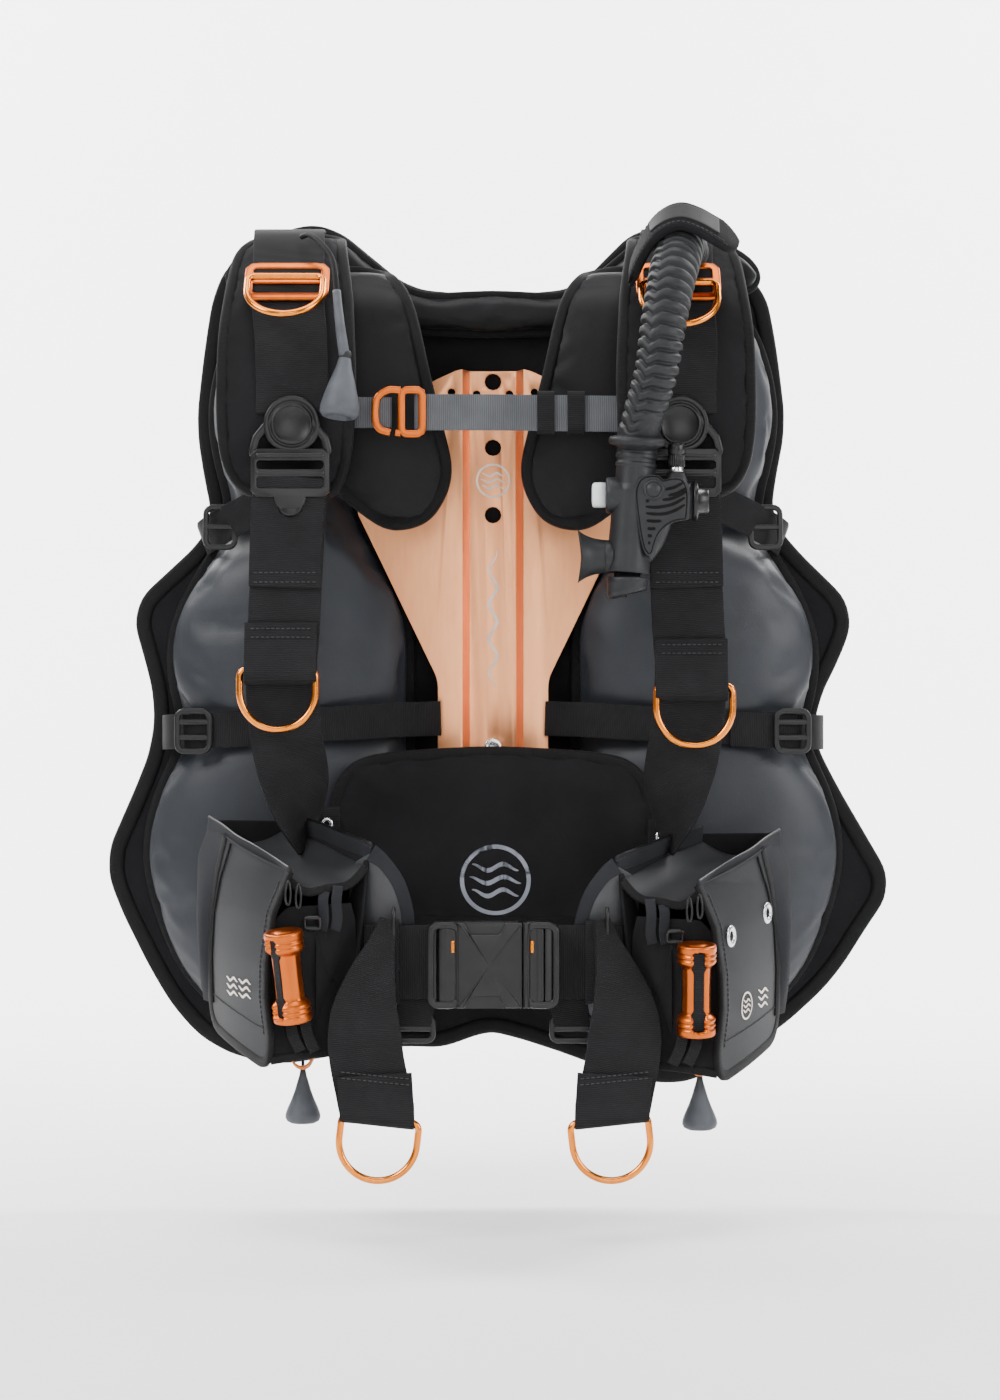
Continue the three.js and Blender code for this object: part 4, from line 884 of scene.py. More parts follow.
# %% Stitches and straps
def stitches(name, lines, outward, body="root", pitch=0.0034, width=0.0005, finish=THREAD):
    """Threads along lines: each is a long bead, with ends narrower than its middle."""
    rings = np.array([(-0.5, 0.05), (-0.36, 0.8), (0.36, 0.8), (0.5, 0.05)])
    turn = np.linspace(0, 2 * np.pi, 6, endpoint=False)
    pieces = []
    for k, line in enumerate(lines):
        count = max(2, int(lengths(line)[-1] / pitch))
        spots = respaced(line, 2 * count + 1)
        at, ahead = spots[1::2], unit(spots[2::2] - spots[:-1:2])
        side = unit(np.cross(ahead, np.array(outward, float)))
        out = np.cross(side, ahead)
        l = rings[None, :, None, None, 0] * pitch * 0.78
        r = rings[None, :, None, None, 1] * width
        c, s = np.cos(turn)[None, None, :, None], np.sin(turn)[None, None, :, None]
        bead = at[:, None, None] + ahead[:, None, None] * l + r * (c * side[:, None, None] + s * out[:, None, None])
        n = np.arange(bead[..., 0].size).reshape(bead.shape[:3])
        n = np.concatenate([n, n[:, :, :1]], 2)
        faces = np.stack([n[:, :-1, :-1], n[:, 1:, :-1], n[:, 1:, 1:], n[:, :-1, 1:]], -1).reshape(-1, 4)
        caps = [n[:, 0, :-1], n[:, -1, :-1][:, ::-1]]
        faces = faces.tolist() + [row for cap in caps for row in cap.tolist()]
        pieces.append(make_piece(f"{name}_{k}", bead.reshape(-1, 3), faces))
    return dress(joined(name, pieces), body, "black_webbing", finish)


def web(name, points, across, width=0.050, thick=0.0024, body="root", slot="black_webbing",
        finish=BLACK_WEB, nodes=(), count=90):
    """A strap through points in millimetres; across is one direction, or one for each end."""
    line = path(points, count)
    across = np.atleast_2d(np.array(across, float))
    stops = np.linspace(0, 1, len(across))
    at = np.linspace(0, 1, count)
    turned = np.stack([np.interp(at, stops, across[:, k]) for k in range(3)], 1)
    return dress(strap(name, line, turned, width, thick), body, slot, finish, *nodes)


def middle(node):
    """The middle of a node's box."""
    low, high = (np.array(corner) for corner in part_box(node))
    return (low + high) / 2


def flip(points, sign, shift=0.0):
    """Points of the +X side, moved outwards by a shift in millimetres, put on either side."""
    return [(sign * (x + shift), y, z) for x, y, z in points]


# %% Shoulder and chest webbing
def make_harness(side, sign):
    """Webbing over the shoulder pad, and from the ladder lock down to the waist."""
    lock_x = abs(middle(f"ladder_lock_{side}")[0]) / MM - 1
    slide_x = abs(middle(f"strap_slide_{side}")[0]) / MM
    over = [(slide_x + 2, -47, 285.2), (slide_x + 2, -64, 284.2), (slide_x + 1, -85, 277), (slide_x, -106, 259),
            (slide_x - 1, -130, 229.5), (lock_x + 1, -143.4, 197), (lock_x, -146.0, 168), (lock_x, -145.6, 146)]
    web(f"shoulder_webbing_{side}", flip(over, sign), (1, 0, 0))
    low = [(lock_x, -150.0, 104), (lock_x + 1, -147, 92), (lock_x + 3, -143.5, 60), (lock_x + 6, -141, 0),
           (lock_x + 8, -139.5, -30), (lock_x + 5, -133, -75), (lock_x - 2, -124, -112), (lock_x - 9, -112, -150)]
    turn = [(1, 0, 0)] * 6 + [(0.75, -0.5 * sign, 0), (0.22, -0.95 * sign, 0)]
    web(f"chest_strap_{side}", flip(low, sign), turn, nodes=[f"chest_webbing_{side}"], count=120)
    back = [(lock_x + 1, -150.6, 103), (lock_x + 2, -149.6, 90), (lock_x + 4, -146.6, 60), (lock_x + 5, -145.2, 27)]
    web(f"chest_strap_end_{side}", flip(back, sign), (1, 0, 0), thick=0.0022)
    ring_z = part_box(f"chest_ring_{side}")[1][2] / MM
    x = lock_x + 8
    keeper = [(x, -143.2, ring_z + 30), (x, -146.5, ring_z + 14), (x, -150.2, ring_z + 3), (x, -151.2, ring_z - 4),
              (x, -149.4, ring_z - 9), (x, -144.2, ring_z - 12)]
    web(f"ring_keeper_{side}", flip(keeper, sign), (1, 0, 0), thick=0.002)
    rows = []
    for z, y, half in ((30.5, -146.6, 22), (37, -146.9, 22), (ring_z + 26, -145.6, 21), (ring_z + 20, -147.0, 21)):
        centre = lock_x + 5 if z > 0 else x
        rows.append(path(flip([(centre - half, y, z), (centre, y, z), (centre + half, y, z)], sign), 12))
    stitches(f"chest_stitches_{side}", rows, (0, -1, 0))


for side, sign in SIDES.items():
    make_harness(side, sign)


# %% Compression straps
def make_compression(side, sign):
    """Two narrow straps over each lobe; the lower one runs from the plate to the wing's edge."""
    lower = [(38, -37, -64), (52, -46, -64.5), (68, -54, -65), (92, -57, -66.5), (150, -58.5, -69.5),
             (206, -57, -72), (229, -47, -73.5), (238, -33, -74), (239, -18, -74)]
    web(f"lower_compression_{side}", flip(lower, sign), (0, 0, 1), 0.025, 0.0016,
        nodes=[f"lower_strap_{side}"], count=110)
    tail = [(221, -58.8, -73.6), (206, -60.6, -72.4), (188, -61.3, -72.2), (170, -60.8, -71.4)]
    web(f"lower_compression_end_{side}", flip(tail, sign), (0.02 * sign, 0, 1), 0.025, 0.0015)
    upper = [(150, -64, 93), (166, -60, 88), (184, -52, 80), (200, -40, 72), (209, -28, 67), (211, -17, 65)]
    web(f"upper_compression_{side}", flip(upper, sign), (0.35 * sign, 0, 1), 0.025, 0.0016)


for side, sign in SIDES.items():
    make_compression(side, sign)


# %% Sternum strap
STERNUM_Z, STERNUM_Y = 149, -125


def make_sternum():
    strap_box, hook_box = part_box("sternum_strap"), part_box("sternum_hook")
    end, slot_x = strap_box[1][0] / MM, hook_box[1][0] / MM - 8
    run = [(slot_x, STERNUM_Y - 1.5, STERNUM_Z), (slot_x + 8, STERNUM_Y - 3, STERNUM_Z), (0, STERNUM_Y - 1.2, STERNUM_Z),
           (45, STERNUM_Y - 0.6, STERNUM_Z - 0.5), (end, STERNUM_Y, STERNUM_Z - 1)]
    web("sternum_webbing", run, (0, 0, 1), 0.025, 0.0018, "sternum", "grey_webbing", GREY_WEB, ["sternum_strap"])
    under = [(slot_x, STERNUM_Y + 1.2, STERNUM_Z), (0, STERNUM_Y + 1.5, STERNUM_Z), (60, STERNUM_Y + 1.4, STERNUM_Z)]
    web("sternum_webbing_return", under, (0, 0, 1), 0.0245, 0.0014, "sternum", "grey_webbing", GREY_WEB)
    for k, x in enumerate((37, 58)):
        loop = into_space(edge_loop(0.0065, 0.029, 0.003, 20)[:, ::-1], (x * MM, STERNUM_Y * MM, STERNUM_Z * MM),
                          (0, 0, 1), (0, 1, 0))
        dress(strap(f"sternum_keeper_{k}", loop, (1, 0, 0), 0.012, 0.0012, closed=True), "sternum",
              "black_webbing", BLACK_WEB)
    low, high = (np.array(c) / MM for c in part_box("sternum_anchor"))
    x0, x1 = low[0] - 3, high[0]
    loop = [(x0, -122, STERNUM_Z), (x0 + 6, -126.4, STERNUM_Z), (x1 - 4, -127, STERNUM_Z), (x1 + 1.2, -125.3, STERNUM_Z),
            (x1 - 3, -123.6, STERNUM_Z), (x0 + 4, -121.4, STERNUM_Z)]
    web("sternum_anchor_loop", loop, (0, 0, 1), 0.021, 0.0013, "root", "grey_webbing", GREY_WEB, ["sternum_anchor"])


make_sternum()


# %% Waist webbing
BELT_Z = (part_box("waist_belt_left")[0][2] / MM + 25)


def make_waist(side, sign):
    """The belt from the buckle round to the back, its keeper, and the tail that hangs from it."""
    belt = [(37 if sign > 0 else 38, -187, BELT_Z), (43, -183.6, BELT_Z), (60, -183, BELT_Z), (76, -182.6, BELT_Z),
            (96, -172, BELT_Z), (104, -150, BELT_Z), (104, -110, BELT_Z), (101, -84, BELT_Z), (95, -71, BELT_Z),
            (84, -64, BELT_Z), (70, -61.5, BELT_Z), (54, -60, BELT_Z)]
    web(f"belt_webbing_{side}", flip(belt, sign), (0, 0, 1), 0.050, 0.0024, nodes=[f"waist_belt_{side}"], count=140)
    x, y, z = middle(f"belt_loop_{side}")
    loop = into_space(edge_loop(0.0555, 0.0075, 0.0035, 60), (x, y, z), (0, 0, 1), (0, 1, 0))
    dress(strap(f"belt_keeper_{side}", loop, (1, 0, 0), 0.010, 0.0016, closed=True), "root", "black_webbing",
          BLACK_WEB, f"belt_loop_{side}")
    shift = (abs(middle(f"tail_ring_{side}")[0]) / MM) - 74
    tail = [(71, -189, -199), (76, -192, -216), (83, -195.5, -240), (87, -198, -263), (86, -199.5, -288),
            (81.5, -200.5, -312), (78.4, -202, -327)]
    line = path(flip(tail, sign, shift), 130)
    at = np.linspace(0, 1, len(line))
    width = np.interp(at, (0, 0.12, 0.32, 0.5, 0.62), (0.012, 0.018, 0.034, 0.046, 0.050))
    thick = np.interp(at, (0, 0.15, 0.45), (0.0065, 0.0055, 0.0024))
    slope = np.interp(at, (0, 0.25, 0.5, 0.75, 1), (-0.9, -0.6, -0.25, 0.02, 0.11))
    across = np.stack([sign + 0 * at, 0.25 * (1 - at) * sign, slope], 1)
    body = f"waist_tail_{side}"
    piece = strap(f"waist_end_{side}", line, across, width, thick)
    piece.data.materials.append(BLACK_WEB)
    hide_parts(body)
    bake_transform(piece)
    bar_x = {"right": 66.6, "left": 77.5}[side]
    bar = path(flip([(bar_x, -187.6, -252), (bar_x, -190.4, -246), (bar_x, -190.6, -222), (bar_x, -190.4, -198),
                     (bar_x, -187.6, -191.5)], sign), 60)
    dress(sweep(f"belt_loop_bar_{side}", bar, (1, 0, 0), oval(0.0026, 0.005, 3, 16)), "root", "black_plastic", ACETAL)
    hem = [(80, -203.2, -302), (79.2, -205.5, -314), (78.4, -208.0, -325), (78.2, -208.5, -331.5),
           (78.2, -205.5, -334.8), (78.3, -201.6, -331.5), (78.6, -199.4, -322)]
    web(f"waist_end_hem_{side}", flip(hem, sign, shift), (sign * 1.0, 0, 0.11), 0.050, 0.0022, body=body, count=70)
    row = flip([(56.5, -204.6, -304.5), (80, -204.6, -302.2), (103, -204.6, -299.8)], sign, shift)
    low_row = flip([(56.2, -205.4, -308.5), (79.8, -205.4, -306.2), (102.6, -205.4, -303.8)], sign, shift)
    stitches(f"waist_end_stitches_{side}", [path(row, 12), path(low_row, 12)], (0, -1, 0), body=body)


for side, sign in SIDES.items():
    make_waist(side, sign)
print("webbing ready")
# %% [markdown]
# ## Rings, slides and buckles
# A D-ring is one wire bent round, so it is a round section on a closed path: a straight bar, two
# tight bends and an arc. A slide is a flat frame, so its section is a rounded rectangle, and its
# middle rail is a short bar across it. Both are read from where the frame puts their nodes.

# %% D-rings
JOINT_AT = {joint["name"]: np.array(joint["pos_m"]) for joint in frame["joints"] if "pos_m" in joint}
WIRE = 0.0048
RING_WIDE, RING_TALL = 0.057, 0.046


def ring_path(count=120):
    """The wire's middle line: a bar at y = 0, bends of radius b, and below it an arc of radius r."""
    r, b = (RING_WIDE - WIRE) / 2, 0.005
    low = WIRE / 2 + r - RING_TALL
    arc = np.linspace(np.pi, 2 * np.pi, 60)
    bowl = np.stack([r * np.cos(arc), low + r * np.sin(arc)], 1)
    bend = np.linspace(0, np.pi / 2, 10)
    right = np.stack([r - b + b * np.cos(bend), -b - WIRE / 2 + b * np.sin(bend)], 1)
    left = right[::-1] * (-1, 1)
    whole = np.vstack([bowl, right, left, bowl[:1]])
    return respaced(whole, count + 1)[:-1]


def make_ring(name, node, at, tilt=0.0, lean=0.0, finish=GOLD):
    """A ring with its bar through a point, tilted about x so that its bowl swings forwards."""
    right = np.array((np.cos(lean), 0, -np.sin(lean)))
    up = np.array((np.sin(lean), 0, np.cos(lean)))
    up = up * np.cos(tilt) + np.array((0, 1.0, 0)) * np.sin(tilt)
    line = into_space(ring_path(), at, right, up)
    out = np.cross(right, up)
    ring = tube(name, line, WIRE / 2, 18, closed=True, across=out)
    return dress(ring, node, "anodised_orange", finish, node)


for side, sign in SIDES.items():
    slide = middle(f"strap_slide_{side}")
    bar = JOINT_AT[f"shoulder_ring_swing_{side}"]
    make_ring(f"d_ring_shoulder_{side}", f"shoulder_ring_{side}", bar - (0, 0.0025, 0), 0.78 if sign < 0 else 0.69)
    low, high = (np.array(c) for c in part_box(f"chest_ring_{side}"))
    make_ring(f"d_ring_chest_{side}", f"chest_ring_{side}", ((low[0] + high[0]) / 2, (low[1] + high[1]) / 2, high[2]))
    at = JOINT_AT[f"tail_ring_swing_{side}"]
    make_ring(f"d_ring_waist_{side}", f"tail_ring_{side}", at + (0.0005 * sign, 0, 0), lean=-0.12 * sign)
print("rings ready")


# %% Slides and sliders
def web_frame(name, at, wide, tall, rail, thick, tilt=0.0, finish=ORANGE, body="root",
              slot="anodised_orange", nodes=(), bars=(0.0,), power=4.0):
    """A flat frame for webbing, with a rail across it at each height in bars."""
    up = np.array((0, np.sin(tilt), np.cos(tilt)))
    across = np.array((1.0, 0, 0))
    out = np.cross(across, up)
    line = into_space(edge_loop(wide - rail, tall - rail, min(0.005, tall / 5), 40), at, across, up)
    parts = [sweep(name + "_rim", line, out, oval(thick, rail, power, 24), closed=True)]
    for k, height in enumerate(bars):
        ends = into_space([(-wide / 2 + rail / 2, height), (0, height), (wide / 2 - rail / 2, height)], at, across, up)
        rung = respaced(ends, 12)
        parts.append(sweep(f"{name}_bar_{k}", rung, out, oval(thick * 0.96, rail * 0.94, power, 24)))
    return dress(joined(name, parts), body, slot, finish, *nodes)


for side, sign in SIDES.items():
    web_frame(f"shoulder_slide_{side}", middle(f"strap_slide_{side}"), 0.059, 0.038, 0.0062, 0.0038,
              math.radians(42), ORANGE, nodes=[f"strap_slide_{side}"], bars=(0.0,))
    web_frame(f"compression_slider_{side}", middle(f"lower_slider_{side}"), 0.027, 0.033, 0.0042, 0.004,
              0, ACETAL, slot="black_plastic", nodes=[f"lower_slider_{side}"], bars=(-0.0045, 0.0065))
    web_frame(f"upper_slider_{side}", (0.196 * sign, -0.0475, 0.0735), 0.025, 0.033, 0.004, 0.004, 0.1,
              ACETAL, slot="black_plastic", bars=(0.0,))
    triglide = web_frame(f"belt_triglide_{side}", (0.054 * sign, -0.177, -0.2735), 0.031, 0.020, 0.0038, 0.0036, 0,
                         ACETAL, slot="black_plastic", bars=(0.0,))
    web(f"belt_hanger_{side}", flip([(50, -178.5, -247), (52, -178.6, -258), (53.5, -178.4, -269), (54, -175.6, -275),
                                     (53.5, -174.6, -266), (50, -176.2, -249)], sign), (1, 0, 0), 0.025, 0.0014)


# %% Sternum hook
def make_hook():
    """The gated frame: a closed loop for the strap, and an open hook that drops over the anchor."""
    low, high = (np.array(c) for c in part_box("sternum_hook"))
    y, z, x1 = (low[1] + high[1]) / 2, (low[2] + high[2]) / 2, high[0]
    tall = high[2] - low[2]
    rail = 0.0055
    right = into_space(edge_loop(0.020 - rail, tall - rail, 0.004, 30), (x1 - 0.010, y, z))
    out = np.array((0, -1.0, 0))
    parts = [sweep("hook_frame", right, out, oval(0.005, rail, 4, 22), closed=True)]
    x0, top = low[0], high[2]
    arm = path([(p * 1e3, y * 1e3, q * 1e3) for p, q in
                ((x1 - 0.018, top - 0.003), (x0 + 0.012, top - 0.0028), (x0 + 0.005, top - 0.007),
                 (x0 + 0.0028, z + 0.004), (x0 + 0.0028, z - 0.006), (x0 + 0.006, low[2] + 0.006),
                 (x0 + 0.013, low[2] + 0.0036))], 60)
    parts.append(sweep("hook_arm", arm, out, oval(0.005, 0.0052, 4, 22)))
    foot = path([(p * 1e3, y * 1e3, q * 1e3) for p, q in
                 ((x1 - 0.018, low[2] + 0.003), (x0 + 0.020, low[2] + 0.003), (x0 + 0.0165, low[2] + 0.0035))], 16)
    parts.append(sweep("hook_foot", foot, out, oval(0.005, 0.0048, 4, 22)))
    dress(joined("hook", parts), "sternum", "anodised_orange", ORANGE, "sternum_hook")


make_hook()


# %% Swivels and ladder locks
def make_swivel(side, sign):
    """A teardrop plate with a flat disc in a raised ring, and the ladder lock hung below it."""
    body = f"swivel_{side}"
    low, high = (np.array(c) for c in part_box(f"swivel_buckle_{side}"))
    x, front = (low[0] + high[0]) / 2, low[1]
    disc_z = JOINT_AT[f"swivel_turn_{side}"][2]
    turn = np.linspace(0, 2 * np.pi, 96, endpoint=False)
    flare = 1 + 0.10 * np.clip(-np.sin(turn), 0, 1) ** 2
    rim = np.stack([0.0195 * np.cos(turn) * flare, 0.0195 * np.sin(turn)], 1)
    rows = []
    for scale, y in ((0.0, 0.0045), (0.98, 0.0045), (1.0, 0.0035), (1.0, 0.0012), (0.97, 0.0004), (0.84, 0.0003),
                     (0.82, 0.0010), (0.74, 0.0012), (0.72, -0.0006), (0.64, -0.0008), (0.62, 0.0004),
                     (0.0, 0.0006)):
        rows.append(into_space(rim * scale, (x, front + y, disc_z)))
    plate = surface(f"swivel_plate_{side}", np.stack(rows), wrap=(False, True))
    plate.modifiers.new("edges", "BEVEL").width = 0.0003
    dress(plate, body, "black_plastic", ACETAL, f"swivel_buckle_{side}")
    strap_low, strap_high = (np.array(c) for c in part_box(f"ladder_lock_{side}"))
    lock_x, lock_front = (strap_low[0] + strap_high[0]) / 2, strap_low[1]
    neck = [(-0.012, 0.010), (0.012, 0.010), (0.0235, -0.004), (0.0262, -0.0145), (-0.0262, -0.0145), (-0.0235, -0.004)]
    line = into_space(np.array(neck) + (0, strap_high[2] - disc_z + 0.012), (lock_x, front + 0.003, disc_z))
    loop = respaced(np.vstack([line, line[:1]]), 61)[:-1]
    collar = sweep(f"swivel_neck_{side}", loop, (0, -1, 0), oval(0.0045, 0.006, 3.5, 16), closed=True)
    dress(collar, body, "black_plastic", ACETAL)
    lock = refined(f"lock_{side}", f"ladder_lock_{side}", 0.0012, 3)
    dress(lock, body, "black_plastic", ACETAL, f"ladder_lock_{side}")
    thumb = lathe(f"lock_thumb_{side}", [(0, 2.4), (4, 2.2), (8, 1.2), (9.5, 0), (0, 0)],
                  (lock_x, lock_front + 0.0035, strap_low[2] + 0.0035), (0, -1, 0.25))
    dress(thumb, body, "black_plastic", ACETAL)
    for k, z in enumerate((strap_high[2] - 0.0045, strap_high[2] - 0.0165)):
        ends = into_space([(-0.0235, 0), (0, 0), (0.0235, 0)], (lock_x, lock_front + 0.0012, z))
        grip = sweep(f"lock_grip_{side}_{k}", respaced(ends, 24), (0, -1, 0), oval(0.0036, 0.0032, 3, 16))
        dress(grip, body, "black_plastic", ACETAL)


for side, sign in SIDES.items():
    make_swivel(side, sign)


# %% [markdown]
# ## The waist buckle
# A side-release buckle is two mouldings. The socket is a box with windows at its ends, through
# which the plug's two sprung arms are pressed. The CAD halves have the right size and travel, so
# refined copies carry raised ribs, release tabs and the webbing's bar.

# %% Waist buckle
def tile(name, outline, front, thick, corner, body, finish=ACETAL, slot="black_plastic", nodes=()):
    """A raised plate of any outline (x, z) in millimetres: its front edge is a quarter round.

    Row by row the outline moves in along its own normal by r (1 - cos a) and forwards by r sin a.
    """
    shape = respaced(np.array([*outline, outline[0]], float) * MM, 241)[:-1]
    ahead = np.roll(shape, -1, 0) - np.roll(shape, 1, 0)
    area = (shape[:, 0] * np.roll(shape[:, 1], -1) - np.roll(shape[:, 0], -1) * shape[:, 1]).sum()
    inward = unit(np.stack([-ahead[:, 1], ahead[:, 0]], 1)) * np.sign(area)
    hub = shape.mean(0)
    rows = [(hub + 0 * shape, front + thick), (shape, front + thick)]
    for a in np.linspace(0, np.pi / 2, 5):
        rows.append((shape + inward * corner * (1 - np.cos(a)), front + corner * (1 - np.sin(a))))
    rows += [(hub + (rows[-1][0] - hub) * 0.5, front), (hub + 0 * shape, front)]
    grid = np.stack([into_space(flat, (0, depth, 0)) for flat, depth in rows])
    return dress(surface(name, grid, wrap=(False, True)), body, slot, finish, *nodes)


def end_frame(name, x0, x1, z, tall, bar, front, body):
    """The buckle's end: an outer rail with rounded corners and the bar that the webbing turns round."""
    rail = 0.005
    loop = into_space(edge_loop((x1 - x0) * MM - rail, tall - rail, 0.0055, 70), ((x0 + x1) / 2 * MM, front + 0.003, z))
    parts = [sweep(name + "_rail", loop, (0, -1, 0), oval(0.009, rail, 4, 24), closed=True)]
    rod = np.array([(bar * MM, front + 0.0028, z - tall / 2 + 0.003), (bar * MM, front + 0.0028, z),
                    (bar * MM, front + 0.0028, z + tall / 2 - 0.003)])
    parts.append(sweep(name + "_bar", respaced(rod, 20), (1, 0, 0), oval(0.0075, 0.006, 2.4, 24)))
    dress(joined(name, parts), body, "black_plastic", ACETAL)


def make_buckle():
    """The CAD halves, refined, under a raised face whose two notches show the plug's arms."""
    low, high = (np.array(c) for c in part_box("buckle_socket"))
    dress(refined("socket", "buckle_socket", 0.0014, 3), "root", "black_plastic", ACETAL, "buckle_socket")
    dress(refined("plug", "buckle_plug", 0.0012, 3), "buckle_plug", "black_plastic", ACETAL, "buckle_plug")
    z, tall, front = (low[2] + high[2]) / 2, high[2] - low[2] + 0.0006, low[1]
    upper = [(-23.4, 28.6), (-18.8, 28.6), (-14.6, 20.8), (4.6, 20.8), (8.8, 28.6), (high[0] / MM, 28.6)]
    face = [(x, z / MM + h) for x, h in upper] + [(x, z / MM - h) for x, h in upper[::-1]]
    tile("socket_face", face, front - 0.0026, 0.0045, 0.0011, "root")
    end_frame("socket_end", -44, -20, z, tall, -33, front, "root")
    seam = high[0] / MM + 0.7
    strip = [(seam, z / MM - 28.6), (seam + 4.2, z / MM - 28.6), (seam + 4.2, z / MM + 28.6), (seam, z / MM + 28.6)]
    tile("plug_face", strip, front - 0.0026, 0.0045, 0.0009, "buckle_plug")
    end_frame("plug_end", seam, 45.5, z, tall, 31.5, front, "buckle_plug")
    # painted glints: two small gold patches on the buckle's face stand in for glints of light, not parts of the buckle
    for k, (x, body) in enumerate(((-26.6, "root"), (seam + 6.0, "buckle_plug"))):
        glint_outline = [(x - 1.2, -0.5), (x + 1.2, -0.5), (x + 1.2, 7.5), (x - 1.2, 7.5)]
        tile(f"buckle_glint_{k}", [(a, z / MM + 9 + b) for a, b in glint_outline], front - 0.0014, 0.003, 0.0004, body, GOLD,
             "anodised_orange")


make_buckle()
print("fittings ready")
# %% [markdown]
# ## Weight pockets
# Each pocket is a box of coated cloth with its top cut on a slope. Its outer panel stands at a
# slant and is stiffened by a binding, its top is an open zip, and its front has a window that the
# weight pouch is pushed through. Every panel is a sheet between two edge lines, given a thickness.

# %% Cloth between two edges
POCKET_SHIFT = {"right": (0, 0), "left": (2, 9)}
FRONT_EDGE = [(136, -197.5, -166), (147.5, -198.5, -194), (152, -199, -227), (152.5, -199, -250), (149.5, -198.5, -277),
              (148, -198, -300)]
REAR_SEAM = [(184, -131, -144), (191, -118, -170), (196, -108, -200), (197.5, -105, -230), (196.5, -106, -262),
             (195, -108, -285)]
PANEL_WIDE = 0.104


def cloth(name, grid, thick, finish=NYLON, slot="black_fabric", body="root", nodes=(), wrap=(False, False)):
    """A sheet with both its faces: a grid given a thickness."""
    piece = surface(name, grid, wrap=wrap)
    sheet = piece.modifiers.new("thickness", "SOLIDIFY")
    sheet.thickness, sheet.offset = thick, 0
    soft = piece.modifiers.new("soft edges", "BEVEL")
    soft.width, soft.segments, soft.angle_limit = thick * 0.35, 2, math.radians(50)
    return dress(piece, body, slot, finish, *nodes)


def between(a, b, rows, bow=(0, 0, 0)):
    """A grid from line a to line b, pushed along bow in its middle: (1 - t) a + t b + bow sin(pi t) sin(pi s)."""
    t = np.linspace(0, 1, rows)[:, None, None]
    s = np.linspace(0, 1, len(a))[None, :, None]
    return a * (1 - t) + b * t + np.array(bow) * np.sin(np.pi * t) * np.sin(np.pi * s)


def on_side(points, side, sign):
    """Points of the +X pocket in millimetres, moved to a side's own pocket, in metres."""
    out, down = POCKET_SHIFT[side]
    p = np.atleast_2d(np.array(points, float)) + (out, 0, -down)
    return p * (sign, 1, 1) * MM


def slant(u, z, lift=0.0):
    """The outer panel in millimetres: u runs from its front edge to its rear seam, at a height z."""
    u, z = np.broadcast_arrays(u, z)
    ends = []
    for edge in (np.array(FRONT_EDGE), np.array(REAR_SEAM)):
        ends.append(np.stack([np.interp(-z, -edge[:, 2], edge[:, k]) for k in (0, 1)], -1))
    xy = ends[0] * (1 - u)[..., None] + ends[1] * u[..., None]
    out = 2.2 * np.sin(np.pi * np.clip(u, 0, 1)) + lift
    return np.concatenate([xy + out[..., None] * (0.896, -0.443), z[..., None]], -1)


def top_of(u):
    return np.interp(u, (0, 1), (-166, -145))


def foot_of(u):
    return np.interp(u, (0, 0.02, 0.05, 0.09, 0.15, 0.86, 0.92, 0.96, 0.985, 1),
                     (-279, -287, -292, -294.5, -295, -279.5, -276.5, -272, -267, -258))


# %% Pocket panels
def make_pocket(side, sign):
    u = np.concatenate([np.linspace(0, 0.15, 12)[:-1], np.linspace(0.15, 0.86, 22), np.linspace(0.86, 1, 12)[1:]])
    v = np.linspace(0, 1, 42)[:, None]
    z = top_of(u) * (1 - v) + foot_of(u) * v
    grid = on_side(slant(u[None] + 0 * v, z).reshape(-1, 3), side, sign).reshape(*z.shape, 3)
    cloth(f"pocket_panel_{side}", grid, 0.0024, SLATE_DARK, "pocket_fabric", nodes=[f"pocket_{side}"])
    out = np.array((0.896 * sign, -0.443, 0))
    edge = np.vstack([grid[:, 0], grid[-1, 1:], grid[::-1, -1][1:]])
    edge = respaced(edge, 190)
    dress(sweep(f"pocket_binding_{side}", edge, out, oval(0.0042, 0.0078, 3, 24)), "root", "black_fabric", BINDING)
    seam_z = np.linspace(-150, -262, 40)
    seam = on_side(slant(np.interp(-seam_z, (150, 175, 205, 262), (0.86, 0.915, 0.93, 0.93)), seam_z, 1.6), side, sign)
    rows = [seam, on_side(slant(np.linspace(0.06, 0.92, 40), np.linspace(-272, -256, 40), 1.5), side, sign)]
    dress(tube(f"pocket_piping_{side}", rows[0], 0.0009, 10), "root", "black_fabric", BINDING)
    hems = [rows[1], on_side(slant(0.062 + 0 * seam_z, np.linspace(-172, -276, 40), 1.5), side, sign)]
    stitches(f"pocket_stitches_{side}", hems, out)
    return grid


def rim_band(name, points, width, side, sign, finish=CHARCOAL, count=70, tilt=(0, 0, 1)):
    """Zip tape along a rim, with a row of teeth on its upper edge."""
    line = path(on_side(points, side, sign) / MM, count)
    across = np.array(tilt, float)
    dress(strap(name, line, across, width, 0.0024), "root", "pocket_fabric", finish)
    teeth = line + unit(across) * width * 0.52
    dress(tube(name + "_teeth", teeth, 0.0011, 8), "root", "black_plastic", ACETAL)
    lines = [line + unit(across) * width * k + (0, -0.0014, 0) for k in (-0.36, 0.3)]
    stitches(name + "_stitches", lines, (0, -1, 0), pitch=0.003)


OUTER_RIM = [(136, -199.5, -168), (148, -179, -162), (162, -160, -155), (176, -141, -149), (188, -121, -142),
             (199, -102, -137)]
INNER_RIM = [(145, -92, -137), (121, -124, -142), (103, -152, -147.5), (90, -172, -151), (82, -181, -154)]
FLANK = [(82, -181, -154), (75, -183, -159), (69, -183.5, -166), (64, -183, -174), (60.5, -182, -183),
         (58, -180.5, -193), (57, -178.5, -203)]
WALL_TOP = [(145, -90, -140), (121, -123, -146), (103, -151, -152), (90, -171, -156), (84, -181, -160)]


